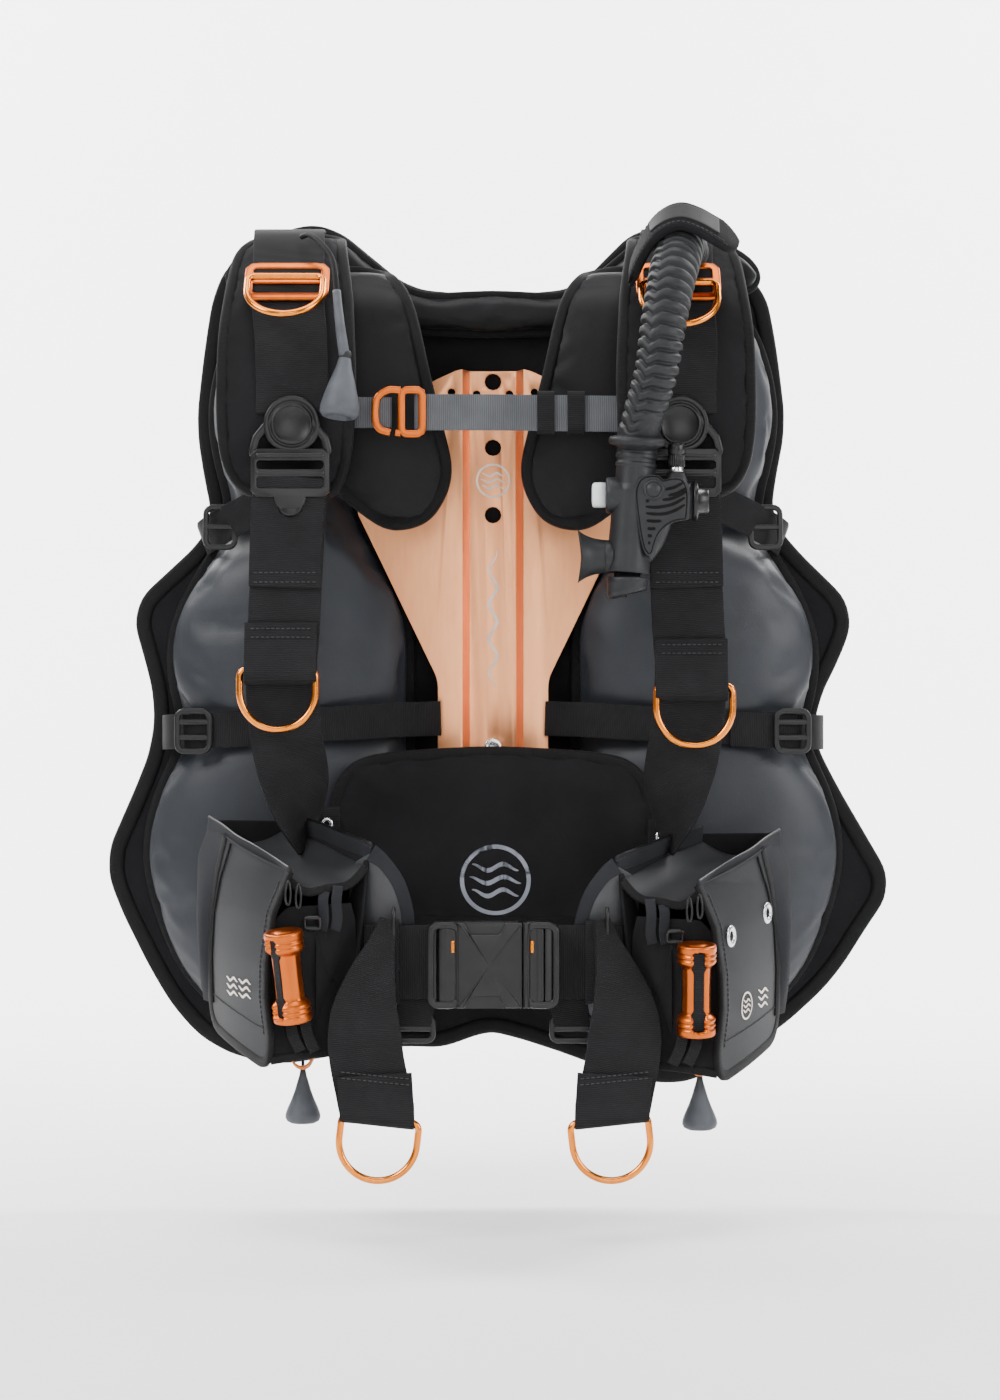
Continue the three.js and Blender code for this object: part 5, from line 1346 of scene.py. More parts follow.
def make_cargo(side, sign):
    """The gusset, the walls behind the panel, the slack flap between the two zips, and the rims."""
    rear = on_side([(198, -100, -137), (207, -92, -160), (208, -92, -200), (206, -93, -240), (203, -95, -262)], side, sign)
    seam_z = np.linspace(-146, -262, 30)
    seam = on_side(slant(1.0, seam_z), side, sign)
    gusset = between(seam, respaced(rear, 30), 10, (0.003 * sign, -0.002, 0))
    cloth(f"pocket_gusset_{side}", gusset, 0.0022, CHARCOAL, "pocket_fabric")
    back_top = on_side([(110, -88, -138), (145, -89, -136), (198, -97, -135)], side, sign)
    back_foot = on_side([(110, -88, -280), (150, -89, -280), (203, -95, -262)], side, sign)
    cloth(f"pocket_back_{side}", between(respaced(back_top, 16), respaced(back_foot, 16), 14), 0.003, NYLON)
    wall_top = path(on_side(WALL_TOP, side, sign) / MM, 34)
    foot = on_side([(112, -88, -281), (111, -130, -285), (104, -172, -288), (96, -184, -288)], side, sign)
    cloth(f"pocket_wall_{side}", between(wall_top, path(foot / MM, 34), 26), 0.0026, NYLON)
    outer = path(on_side([(137, -196, -171), (150, -176, -166), (168, -148, -156), (190, -112, -144)], side, sign) / MM, 30)
    inner = path(on_side([(86, -182, -163), (100, -158, -158), (120, -126, -150), (146, -94, -142)], side, sign) / MM, 30)
    s = np.linspace(0, 1, 30)[None, :, None]
    t = np.linspace(0, 1, 34)[:, None, None]
    sag = np.sin(np.pi * t) * (0.012 - 0.004 * s) + np.sin(3 * np.pi * t) * 0.0022 * (1 - s)
    flap = outer[None] * (1 - t) + inner[None] * t - np.array((0, 0, 1.0)) * sag
    cloth(f"pocket_flap_{side}", flap, 0.0016, SLATE_DARK, "pocket_fabric")
    hem = respaced(flap[:, 0] + (0, -0.0005, -0.001), 60)
    dress(sweep(f"flap_hem_{side}", hem, (0, -1, 0.2), oval(0.0034, 0.0060, 3, 20)), "root", "black_fabric", BINDING)
    rim_band(f"pocket_outer_zip_{side}", OUTER_RIM, 0.0085, side, sign)
    rim_band(f"pocket_inner_zip_{side}", INNER_RIM, 0.0120, side, sign, tilt=(0, -0.25, 1))
    line = path(on_side(FLANK, side, sign) / MM, 60)
    across = np.stack([np.interp(np.linspace(0, 1, 60), (0, 0.3, 1), (0.1, -0.7, -1)) * sign, 0 * line[:, 0],
                       np.interp(np.linspace(0, 1, 60), (0, 0.3, 1), (1, 0.8, 0.1))], 1)
    width = np.interp(np.linspace(0, 1, 60), (0, 0.2, 1), (0.012, 0.0095, 0.0085))
    dress(strap(f"flank_binding_{side}", line, across, width, 0.003), "root", "black_fabric", CHARCOAL)
    # painted light: the flank panel takes a paler copy of the pocket cloth where it faces the light
    deep = on_side([(92, -174, -160), (96, -168, -172), (97, -166, -186), (95, -166, -200), (90, -169, -212)], side, sign)
    flank = between(path(on_side(FLANK, side, sign) / MM, 40), path(deep / MM, 40), 22, (-0.003 * sign, -0.006, 0))
    cloth(f"flank_panel_{side}", flank, 0.002, LIT_FLANK_CLOTH, "pocket_fabric")


def make_front(side, sign):
    """The front face: rings of points from the pouch's window out to the face's own outline."""
    hole = edge_loop(0.0305, 0.067, 0.004, 96) / MM + (134.5, -237.5)
    outline = [(96, -188), (138, -190), (148, -200), (151, -227), (151, -250), (149, -277), (149, -291), (128, -291),
               (100, -288), (93, -270), (92, -230), (93, -200)]
    rim = respaced(np.array(outline + outline[:1], float), 97)[:-1]
    turn = [np.arctan2(*(ring - (134.5, -237.5)).T[::-1]) for ring in (hole, rim)]
    start = [int(np.argmin(t)) for t in turn]
    hole, rim = np.roll(hole, -start[0], 0), np.roll(rim, -start[1], 0)
    rows = []
    for t in np.linspace(0, 1, 14):
        flat = hole * (1 - t) + rim * t
        depth = np.interp(flat[:, 0], (92, 112, 151), (-180, -190, -196)) + 3 * np.sin(np.pi * t)
        rows.append(on_side(np.stack([flat[:, 0], depth, flat[:, 1]], 1), side, sign))
    cloth(f"pocket_front_{side}", np.stack(rows), 0.002, NYLON, wrap=(False, True))
    low = [(96, -184, -287), (112, -189, -288.5), (128, -192, -290), (149, -197, -293)]
    back = [(112, -88, -281), (130, -89, -280), (160, -92, -274), (198, -98, -266)]
    floor = between(path(on_side(low, side, sign) / MM, 24), path(on_side(back, side, sign) / MM, 24), 20, (0, 0, -0.006))
    cloth(f"pocket_floor_{side}", floor, 0.003, NYLON)
    hem = path(on_side(low, side, sign) / MM, 40)
    dress(sweep(f"pocket_foot_binding_{side}", hem, (0, 0, 1), oval(0.006, 0.0036, 3, 20)), "root", "black_fabric",
          BINDING)
    for k, x in enumerate((104, 113)):
        fold = [(x, -191, -176 - k * 4), (x + 1, -193.5, -186), (x + 0.5, -192.5, -198), (x + 2, -190.5, -206)]
        dress(strap(f"pocket_inner_strap_{side}_{k}", path(on_side(fold, side, sign) / MM, 30), (1, 0.2 * sign, 0), 0.007,
                    0.0018), "root", "black_fabric", CHARCOAL)
    clip = on_side([(121, -196.5, -200.5)], side, sign)[0]
    loop = into_space(edge_loop(0.0105, 0.0085, 0.002, 28), clip, up=(0, -0.5, 0.87))
    dress(sweep(f"pocket_clip_{side}", loop, (0, -0.87, -0.5), oval(0.003, 0.0026, 3, 14), closed=True), "root",
          "black_plastic", ACETAL)
    for k, x in enumerate((134, 124)):
        run = [(x + 3, -195.5, -262), (x, -197, -276), (x - 5, -195.5, -287)]
        dress(strap(f"pouch_tail_{side}_{k}", path(on_side(run, side, sign) / MM, 30), (1, 0, 0), 0.0075, 0.0018),
              "root", "black_webbing", BLACK_WEB)
    for k, shift in enumerate((0, 7)):
        x, z = 137 - shift, -172 - 0.3 * shift
        loop = [(x, -201, z), (x - 1.6, -202, z - 7), (x - 1, -202, z - 15), (x + 1, -202, z - 15.5), (x + 1.8, -202, z - 8)]
        pull = tube(f"zip_pull_{side}_{k}", path(on_side(loop, side, sign) / MM, 36, closed=True), 0.0009, 10, closed=True)
        dress(pull, "root", "black_plastic", ACETAL)


# painted light: the pocket's own coated cloth painted about three times paler, a lit copy of the pocket panel's finish
LIT_FLANK_CLOTH = coated_finish("pocket cloth painted lit", (0.026, 0.027, 0.029), (0.052, 0.053, 0.056), rough=0.5, spec=0.2)
for side, sign in SIDES.items():
    make_pocket(side, sign)
    make_cargo(side, sign)
    make_front(side, sign)


# %% Snaps, grommets and signs on the pockets
def eyelet(name, at, axis, radius, hole, body="root"):
    """A pressed metal ring round a hole, and a dark disc in the hole as painted shade."""
    r, h = radius, hole
    rim = [(h, -0.5), (r, -0.5), (r, 0.5), (r * 0.92, 1.1), (r * 0.68, 1.2), (h * 1.12, 0.8), (h, -0.5)]
    dress(lathe(name, rim, at, axis, 36), body, "steel", STEEL)
    # painted shade: a dark disc fills the hole
    dress(lathe(name + "_hole_shade", [(0, -0.4), (h * 1.05, -0.4), (h * 1.05, 0.1), (0, 0.1)], at, axis, 24), body,
          "black_plastic", HOLE_SHADE)


def onto_panel(piece, u0, z0, side, sign):
    """Lays a flat print made about the origin on the slanted panel: x runs back, z runs up."""
    flat = np.empty(len(piece.data.vertices) * 3)
    piece.data.vertices.foreach_get("co", flat)
    x, y, z = flat.reshape(-1, 3).T
    placed = slant(u0 + x * sign / PANEL_WIDE, z0 + z / MM, 1.5 - y / MM)
    piece.data.vertices.foreach_set("co", on_side(placed, side, sign).ravel())
    return dress(piece, "root", "pocket_fabric", PALE_PRINT)


outward = np.array((0.896, -0.443, 0))
for k, (u, z) in enumerate(((0.18, -201.5), (0.84, -189.5))):
    eyelet(f"pocket_eyelet_{k}", on_side(slant(np.array([u]), np.array([z]), 1.3), "left", 1)[0], outward, 7.6, 3.3)
for side, sign in SIDES.items():
    tab = [(119, -91.5, -126), (119, -93, -135), (118.5, -93, -144)]
    dress(strap(f"waist_tab_{side}", path(on_side(tab, side, sign) / MM, 20), (1, 0, 0), 0.022, 0.002), "root",
          "black_webbing", BLACK_WEB)
    eyelet(f"waist_snap_{side}", on_side([(117, -94.5, -138)], side, sign)[0], (0, -1, 0), 4.6, 1.9)
onto_panel(waves_in_ring("pocket_sign_left", 0.0095, (0, 0, 0)), 0.36, -250, "left", 1)
for name, u0, side in (("a", 0.66, "left"), ("b", 0.30, "right"), ("c", 0.52, "right")):
    strips = []
    for k in range(3):
        low, high = wave_band(0.021, (k - 1) * 0.0048, 0.0011, 0.0009)
        strips.append(open_band(f"ripple_{name}_{k}", low, high, (0, 0, 0), (1, 0, 0), (0, 0, 1)))
    onto_panel(joined(f"pocket_ripples_{name}", strips), u0, -247, side, SIDES[side])


# %% [markdown]
# ## Weight pouches and their handles
# The handle is turned from bar: two discs with shallow grooves and a slim waist between them. A
# slot milled down one side holds the pouch's webbing. The whole handle is one grid of angle and
# height whose radius drops where the slot is cut.

# %% Pouches and handles
def dumbbell(name, at, turn0, side_tilt, lean, body, node):
    """radius(angle, height) = profile(height), cut down to the slot's floor inside the slot."""
    h = np.unique(np.concatenate([np.linspace(-31, 31, 125), [-27.5, 27.5, -14, 14]]))
    turn = np.linspace(0, 2 * np.pi, 150, endpoint=False)
    a = np.abs(h)
    r = np.interp(a, (0, 14.5, 15.5, 18, 19.2, 20.8, 21.3, 22.3, 22.8, 24.2, 24.7, 25.7, 26.2, 29.8, 30.6, 31),
                  (9.3, 9.5, 9.8, 12.3, 13.1, 13.2, 12.5, 12.5, 13.2, 13.2, 12.5, 12.5, 13.2, 13.2, 12.8, 12.1))
    facet = 0.22 * np.cos(8 * turn)[None] * (a < 16)[:, None]
    arc = (np.angle(np.exp(1j * turn)) [None]) * r[:, None]
    half = np.interp(a, (0, 13, 15.5, 26, 27.4, 27.6), (3.5, 3.5, 5.2, 5.2, 4.4, -2))
    cut = np.clip((half[:, None] - np.abs(arc)) / 0.5 + 0.5, 0, 1)
    radius = (r[:, None] + facet) * (1 - cut) + 6.2 * cut
    up = unit(np.array((math.tan(side_tilt), -math.tan(lean), 1.0)))
    face = np.array((math.sin(turn0), -math.cos(turn0), 0))
    face = unit(face - up * (face @ up))
    side = np.cross(up, face)
    ring = np.cos(turn)[None, :, None] * face + np.sin(turn)[None, :, None] * side
    wall = np.array(at) + up * h[:, None, None] * MM + ring * radius[..., None] * MM
    caps = []
    for end, rows in ((-1, (0, 6, 11.4)), (1, (11.4, 10.2, 9.6, 6.5, 6, 0))):
        dip = {9.6: -0.5, 6.5: -0.5}
        for edge in rows:
            height = end * 31 + end * dip.get(edge, 0.0 if edge > 11 else 0.1)
            caps.append((end, np.array(at) + up * height * MM + ring[0] * edge * MM))
    points = np.stack([row for end, row in caps if end < 0] + list(wall) + [row for end, row in caps if end > 0])
    dress(surface(name, points, wrap=(False, True)), body, "anodised_orange", ORANGE, node)
    run = np.array(at) + up * np.linspace(-27, 27, 60)[:, None] * MM + face * 0.0078
    width = np.interp(np.abs(np.linspace(-27, 27, 60)), (13, 15.5), (0.0066, 0.0098))
    dress(strap(name + "_webbing", run, side, width, 0.0022), body, "black_webbing", BLACK_WEB)


for side, sign in SIDES.items():
    body = f"weight_pouch_{side}"
    dress(refined(f"pouch_{side}", body, 0.002, 3), body, "black_fabric", NYLON, body)
    at = middle(f"pouch_handle_{side}") + (0.0022 * sign if side == "right" else 0, -0.0042, 0.0005)
    tilt = (0.10, 0.15, 0.85) if side == "right" else (0.0, 0.13, 0.14)
    dumbbell(f"handle_{side}", at, sign * tilt[2], sign * tilt[0], tilt[1], body, f"pouch_handle_{side}")


# %% [markdown]
# ## Lower dump toggles
# Each lobe has a second dump valve, worked by a short cord that hangs out of an orange tape loop.

# %% Lower toggles
def make_toggle(side, sign):
    body = f"lower_toggle_{side}"
    low, high = (np.array(c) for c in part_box(body))
    x, y, top = (low[0] + high[0]) / 2, (low[1] + high[1]) / 2, high[2]
    r = (high[0] - low[0]) / 2 / MM
    drop = (high[2] - low[2]) / MM
    profile = [(0, 0), (1.9, 0), (2.5, -0.10), (3.9, -0.22), (5.9, -0.40), (8.2, -0.56), (10.6, -0.70), (12.1, -0.81),
               (12.3, -0.88), (11.2, -0.945), (8.2, -0.985), (3.5, -1.0), (0, -1.0)]
    profile = [(a * r / 12.3, b * (drop if b > -2 else 1)) for a, b in profile]
    dress(lathe(f"toggle_bulb_{side}", profile, (x, y, top), (0, 0, 1), 40), body, "grey_rubber", GREY_RUBBER, body)
    loop = np.array([(x / MM, y / MM, top / MM + 16), (x / MM, y / MM - 1, top / MM + 8), (x / MM, y / MM, top / MM - 2)])
    dress(tube(f"toggle_cord_{side}", path(loop, 20), 0.0011, 12), body, "black_webbing", BINDING)
    z = top / MM + 7.7
    u_shape = [(x / MM - 9, y / MM - 9, z + 14), (x / MM - 8.5, y / MM - 9.5, z + 5), (x / MM - 5, y / MM - 10, z - 3),
               (x / MM, y / MM - 10, z - 5.5), (x / MM + 5, y / MM - 10, z - 3), (x / MM + 8.5, y / MM - 9.5, z + 5),
               (x / MM + 9, y / MM - 9, z + 14)]
    u_line = path(u_shape, 60)
    tape = strap(f"toggle_tape_{side}", u_line, (0, -0.92, 0.3), 0.008, 0.0016)
    tape.data.materials.append(ORANGE_TAPE)
    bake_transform(tape)


ORANGE_TAPE = webbing_finish("orange tape", (0.42, 0.115, 0.022), (0.75, 0.235, 0.055), rib=1.0e-3)
for side, sign in SIDES.items():
    make_toggle(side, sign)
print("pockets, pouches and toggles ready")
# %% [markdown]
# ## Hose and inflator
# The corrugated hose is one surface: its radius rises and falls once for each rib, and the ribs
# dip in a shallow V where the mould's halves meet. It runs in a curve from the vest to the
# inflator. The inflator is moulded in a dark plastic: a tube, a valve beside it under a slotted
# grille, a mouthpiece, and two buttons.

# %% Hose
HOSE_ROUTE = [(136, -98, 259), (132, -119, 265), (129, -140, 262.5), (126, -157, 251), (122, -172.5, 236), (117.8, -183, 216),
              (114.3, -188, 196), (111.4, -187, 175), (107.5, -183, 159), (102.6, -176, 144), (99.6, -170.5, 131),
              (98.9, -169.5, 125)]
RIBS = 27


def make_hose():
    """radius = R (1 - d (1 - cos(2 pi k)) / 2), where k counts ribs and dips where the V is."""
    rows, sides = 420, 84
    line = path(HOSE_ROUTE, rows)
    t = np.linspace(0, 1, rows)[:, None]
    turn = np.linspace(0, 2 * np.pi, sides, endpoint=False)[None]
    big = np.interp(t, (0, 0.25, 0.8, 0.93, 1), (0.0170, 0.0172, 0.0148, 0.0138, 0.0150))
    notch = 0.52 * np.clip(1 - np.abs(np.angle(np.exp(1j * (turn - V_ANGLE)))) / 0.42, 0, 1)
    k = t * RIBS - notch
    wave = 1 - (0.5 - 0.5 * np.cos(2 * np.pi * k)) ** 3
    calm = np.clip((0.965 - t) / 0.03, 0, 1) * np.clip(t / 0.01, 0, 1)
    smooth_side = np.clip((np.cos(turn - V_ANGLE + 1.5) - 0.1) * 2, 0, 1) * np.clip((t - 0.86) / 0.05, 0, 1)
    deep = 0.15 * calm * (1 - smooth_side)
    radius = big * (1 - deep * (1 - wave))
    ring = np.stack(np.broadcast_arrays(np.cos(turn), np.sin(turn)), -1)
    hose = sweep("hose_ribbed", line, (1, 0, 0), ring * radius[..., None])
    hose.data.materials.append(HOSE_RUBBER)
    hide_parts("hose")
    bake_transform(hose)


V_ANGLE = 2.15
make_hose()


# %% Hose wrap
WRAP = [(97, -126, 243), (99.5, -134, 251), (105.5, -145, 263), (115, -152.5, 275), (127.5, -156, 280.5),
        (139.5, -155, 277.8), (151.5, -151, 272), (161.5, -146, 267), (168.5, -142, 264)]


def make_wrap():
    """A padded strap over the hose with a rounded free end, a bound edge and a blank rubber patch."""
    line = path(WRAP, 90)
    at = np.linspace(0, 1, 90)
    across = unit(np.array((-0.10, -0.76, -0.64)))
    width = 0.030 * np.sqrt(np.clip(1 - np.clip((at - 0.86) / 0.14, 0, 1) ** 2.4, 0.02, 1))
    width = width * np.interp(at, (0, 0.15), (0.75, 1))
    thick = np.interp(at, (0, 0.08, 0.9, 1), (0.004, 0.0085, 0.0085, 0.006))
    shape = oval(2, 2, 3.2, 48) * np.stack([width / 2, thick / 2], 1)[:, None]
    dress(sweep("hose_wrap_pad", line, across, shape), "root", "black_fabric", NYLON, "hose_wrap")
    tangent = unit(np.gradient(line, axis=0))
    flat = unit(across - (tangent @ across)[:, None] * tangent)
    out = np.cross(flat, tangent)
    out = out * np.sign(out[45] @ np.array((0, 0, 1.0)))
    patch = line[34:74] + out[34:74] * 0.0042
    rim = oval(0.017, 0.0022, 8, 40)
    dress(sweep("hose_wrap_patch", patch, flat[34:74], rim), "root", "black_rubber", RUBBER)
    for k, side in enumerate((-0.40, 0.40)):
        row = line[10:78] + flat[10:78] * 0.030 * side + out[10:78] * 0.0036
        stitches(f"hose_wrap_stitches_{k}", [row], (0, -0.5, 0.87))
    for k in (-0.0105, 0.0105):
        edge = line[4:80] + flat[4:80] * k * 1.25 + out[4:80] * 0.0022
        dress(tube(f"hose_wrap_welt_{k > 0}", edge, 0.0011, 10), "root", "black_fabric", BINDING)


make_wrap()


# %% Inflator body
FRONT = np.array((0, -1.0, 0))
BODY_TOP, BODY_FOOT = mm(98.6, -169, 121), mm(91.9, -169, 36)


def make_body():
    line = BODY_TOP + (BODY_FOOT - BODY_TOP) * np.linspace(0, 1, 160)[:, None]
    low = np.linspace(0, 87.5, 160)
    r = np.interp(low, (0, 4.6, 5, 7.4, 7.8, 10.6, 11, 13.2, 13.6, 26, 30, 60, 84, 87.5),
                  (13.7, 13.7, 14.3, 14.3, 13.2, 13.2, 14.0, 14.0, 13.4, 13.6, 14.4, 14.4, 14.9, 14.7)) * MM
    dress(tube("inflator_tube", line, r, 64), "inflator", "black_plastic", SATIN_PLASTIC, "inflator_body")
    flange = [(0, 5.5), (12.5, 5.5), (15.5, 5.0), (18.6, 4.2), (19.6, 3.0), (19.7, 0.4), (19.0, -0.8), (14.5, -2.4),
              (13.4, -4.0), (0, -4.0)]
    dress(lathe("hose_clamp", flange, BODY_TOP + mm(0, -2.8, 2.6), (0.05, -0.10, 1), 64), "inflator", "black_rubber",
          HOSE_RUBBER)
    housing = [(11, -8), (12.4, -6.5), (12.5, 12), (12.3, 15.3), (11.3, 16.3), (10.2, 16.5), (9.9, 16.2), (9.8, 11),
               (0, 11), (0, -8)]
    dress(lathe("button_housing", housing, mm(93.5, -169, 88.7), (-1, 0, 0), 56), "inflator", "black_plastic",
          SATIN_PLASTIC)
    valve = [(0, -26), (6, -25.5), (9.6, -22), (11.6, -12), (12.2, 0), (12.2, 24), (0, 24)]
    dress(lathe("valve_barrel", valve, mm(112, -169, 84.8), (1, 0, 0), 56), "inflator", "black_plastic", SATIN_PLASTIC)
    cap = [(0, 24.3), (12.9, 24.3), (13.5, 24.9), (13.5, 26.8), (12.9, 27.5), (9.0, 27.7), (8.6, 34.0), (8.0, 35), (0, 35)]
    dress(lathe("valve_cap", cap, mm(112, -169, 84.8), (1, 0, 0), 56), "inflator", "black_plastic", ACETAL)
    drop = path([(112, -169, 92), (111.5, -169, 80), (109.5, -169, 66), (106.5, -169, 52), (103.5, -169, 44)], 50)
    width = np.interp(np.linspace(0, 1, 50), (0, 0.25, 0.7, 1), (14.2, 13.2, 9.4, 4.0)) * MM
    dress(tube("valve_web", drop, width, 40), "inflator", "black_plastic", SATIN_PLASTIC)


def plate_front(x, z):
    """The grille's surface: it bulges over the tube and the valve, y = y0 + k (x - x0)^2 + m (z - z0)^2."""
    return -184.6 + 0.0062 * (x - 110) ** 2 + 0.0012 * (z - 82) ** 2


GRILLE = [(98.4, 97.6), (101.2, 100.2), (105, 101.4), (110, 101.6), (113.4, 100.4), (115.6, 98.4), (118.5, 98.9),
          (124, 99.8), (129.2, 99.2), (132.2, 96.0), (133.8, 90), (133.9, 83), (133.4, 76), (132.4, 71.6), (127.5, 70.8),
          (121.5, 69.0), (116.4, 65.6), (112.2, 60.8), (109.2, 54.5), (107.2, 47.6), (105.2, 46.4), (102.6, 49.4),
          (101.2, 53.4), (99.6, 60.5), (98.2, 69), (97.0, 78), (96.1, 86), (96.3, 92.4)]
SLOTS = [[(117, 91.6), (123, 93.2), (128.6, 96.2)], [(119, 87.6), (125, 89.2), (131, 92.6)],
         [(115, 84.6), (120.5, 85.4), (126, 87.6), (131.2, 90.6)], [(104, 84.6), (105.6, 83.2)],
         [(103.6, 80.2), (109, 79.6), (116, 80.2), (123, 82.2), (130.4, 86.4)],
         [(103.8, 75.6), (110, 75.0), (117, 75.4), (124, 77.8), (130.2, 81.6)], [(104.2, 70.6), (109, 70.2), (114.2, 70.4)],
         [(104.8, 65.4), (107.4, 65.1), (110.2, 65.2)], [(105.0, 60.4), (107.9, 60.2)], [(105.2, 55.6), (106.8, 55.4)]]


def laid(points, lift, count, closed=False):
    """A line drawn on the grille, in metres."""
    xz = path([(x, 0, z) for x, z in points], count, closed=closed) / MM
    x, z = xz[:, 0], xz[:, 2]
    return np.stack([x, plate_front(x, z) - lift, z], 1) * MM


def make_grille():
    """Rings from the outline in to the middle, with the rim stepped back to the tube."""
    edge = laid(GRILLE, 0, 180, closed=True)
    hub = np.array((mm(111)[0], 0, mm(82)[0]))
    rows = [edge + (0, 0.009, 0), edge + (0, 0.0012, 0)]
    for s in (0.985, 0.97, 0.9, 0.75, 0.5, 0.25, 0.02):
        flat = hub + (edge - hub) * (s, 0, s)
        flat[:, 1] = plate_front(flat[:, 0] / MM, flat[:, 2] / MM) * MM
        rows.append(flat)
    dress(surface("grille", np.stack(rows), wrap=(False, True)), "inflator", "black_plastic", SATIN_PLASTIC)
    # painted shade: the groove and the slots are thin dark strips laid on the grille's face, standing in for the shade
    # where it is cut in
    inner = hub + (edge - hub) * (0.9, 0, 0.94)
    inner[:, 1] = plate_front(inner[:, 0] / MM, inner[:, 2] / MM) * MM - 0.00004
    parts = [tube("groove", inner, 0.00042, 8, closed=True)]
    for k, slot in enumerate(SLOTS):
        slit = laid(slot, 0.05, 24)
        wide = 0.0021 * np.sqrt(1 - np.linspace(-0.97, 0.97, 24) ** 6)
        parts.append(strap(f"slit_{k}", slit, (0, 0, 1), wide, 0.0006))
    dress(joined("grille_slot_shade", parts), "inflator", "black_plastic", HOLE_SHADE)
    at = mm(108.9, plate_front(108.9, 91.6) - 0.1, 91.6)
    boss = [(0, -1), (7.2, -1), (7.2, 0.3), (6.6, 0.9), (5.6, 0.9), (5.3, 0.2), (4.9, 0.2), (4.6, 0.9), (0, 1.1)]
    dress(lathe("grille_boss", boss, at, FRONT, 48), "inflator", "black_plastic", SATIN_PLASTIC)


def make_nipple():
    """Cone, chromed ring and a knurled cap: radius = r + d * wave(angle) on the knurled rows."""
    x, z0 = 125.2, 98
    cone = [(0, -2), (8.4, -2), (7.6, 1), (5.6, 5.6), (5.2, 6.4), (0, 6.4)]
    dress(lathe("nipple_cone", cone, mm(x, -169, z0), (0, 0, 1), 40), "inflator", "black_plastic", SATIN_PLASTIC)
    ring = [(0, 6.4), (4.9, 6.4), (5.0, 7), (5.0, 9.6), (4.7, 10), (0, 10)]
    dress(lathe("nipple_ring", ring, mm(x, -169, z0), (0, 0, 1), 40), "inflator", "steel", STEEL)
    turn = np.linspace(0, 2 * np.pi, 192, endpoint=False)[None]
    rows = [(0, 10, 0), (5.2, 10, 0), (5.7, 10.4, 1), (5.7, 17.6, 1), (5.3, 18.2, 0), (5.3, 18.8, 0), (5.9, 19.4, 0),
            (5.9, 24, 0), (5.3, 25.6, 0), (3.5, 26.6, 0), (0, 26.8, 0)]
    r, h, knurl = np.array(rows, float).T[:, :, None]
    radius = r + knurl * 0.26 * np.sin(24 * turn)
    grid = np.stack([x + radius * np.cos(turn), -169 + radius * np.sin(turn), z0 + h + 0 * turn], -1) * MM
    dress(surface("nipple_knurled", grid, wrap=(False, True)), "inflator", "black_plastic", ACETAL)


def make_mouthpiece():
    """x = neck + t (lip(angle) - neck): the lip reaches furthest at its top and foot."""
    turn = np.linspace(0, 2 * np.pi, 72, endpoint=False)[None]
    t = np.linspace(0, 1, 26)[:, None]
    lip = 60.6 - 2.6 * np.abs(np.sin(turn)) ** 1.5
    x = 77.5 + (lip - 77.5) * t
    r = 11.2 + 2.0 * t + 5.0 * t**3
    bore_x, bore_r = x[::-1] + 0.4, (r - 1.7)[::-1]
    x = np.vstack([0 * turn + 77.5, x, bore_x, 0 * turn + 72])
    r = np.vstack([0 * turn, r + 0 * turn, bore_r + 0 * turn, 0 * turn])
    grid = np.stack([x, -169 + 0.92 * r * np.cos(turn), 47 + r * np.sin(turn)], -1) * MM
    dress(surface("mouthpiece_trumpet", grid, wrap=(False, True)), "inflator", "black_rubber", HOSE_RUBBER, "mouthpiece")
    collar = [(0, -3), (11.0, -3), (11.2, 0), (11.2, 2.4), (10.8, 3.2), (0, 3.2)]
    dress(lathe("mouthpiece_collar", collar, mm(79.5, -169, 47), (-1, 0, 0), 56), "inflator", "black_plastic",
          SATIN_PLASTIC)


def make_buttons():
    shape = edge_loop(0.0135, 0.0168, 0.0038, 60)
    rows = []
    for x, s in ((77.0, 0.0), (77.0, 1.0), (70.2, 1.0), (68.8, 0.96), (68.0, 0.86), (67.7, 0.6), (67.6, 0.0)):
        rows.append(into_space(shape * s, mm(x, -169, 88.8), right=(0, -1, 0), up=(0, 0, 1)))
    dress(surface("inflate_pad", np.stack(rows), wrap=(False, True)), "inflate_button", "grey_plastic", LIGHT_PLASTIC,
          "inflate_button")
    turn = np.linspace(0, 2 * np.pi, 144, endpoint=False)[None]
    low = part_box("deflate_button")[1][2] / MM
    rows = [(0, 8, 0, 0), (9, 8, 0, 0), (9, -0.8, 0, 0), (13.4, -0.8, 0, 0), (13.8, -1.4, 0.1, 0), (14.0, -3.6, 0.5, 0), (13.6, -4.4, 0.6, 0),
            (13.8, -9.0, 1, 0), (13.4, -11.6, 1, 0.5), (12.2, -12.6, 1, 1), (9.4, -12.8, 1, 0), (9.0, -12.0, 1, 0),
            (0, -12.0, 1, 0)]
    r, h, slant_by, knurl = np.array(rows, float).T[:, :, None]
    radius = r - knurl * 0.5 * (0.5 + 0.5 * np.sin(22 * turn))
    height = h + slant_by * 2.6 * np.cos(turn)
    grid = np.stack([91.7 + radius * np.cos(turn), -169 + radius * np.sin(turn), low + height], -1) * MM
    # the stem stays inside the tube, so that no gap opens when the cap is pressed
    dress(surface("deflate_cap", grid, wrap=(False, True)), "deflate_button", "black_plastic", SATIN_PLASTIC,
          "deflate_button")


SATIN_PLASTIC = moulded_finish("satin moulded plastic", (0.0062, 0.0066, 0.0078), 0.46, spec=0.32)
make_body()
make_grille()
make_nipple()
make_mouthpiece()
make_buttons()
print("hose and inflator ready")
# %% [markdown]
# ## The cylinder band and the back
# Behind the plate a webbing band holds the cylinder against a ribbed rubber pad. The band runs
# through a lever buckle, and its loop is a rounded rectangle seen from above.

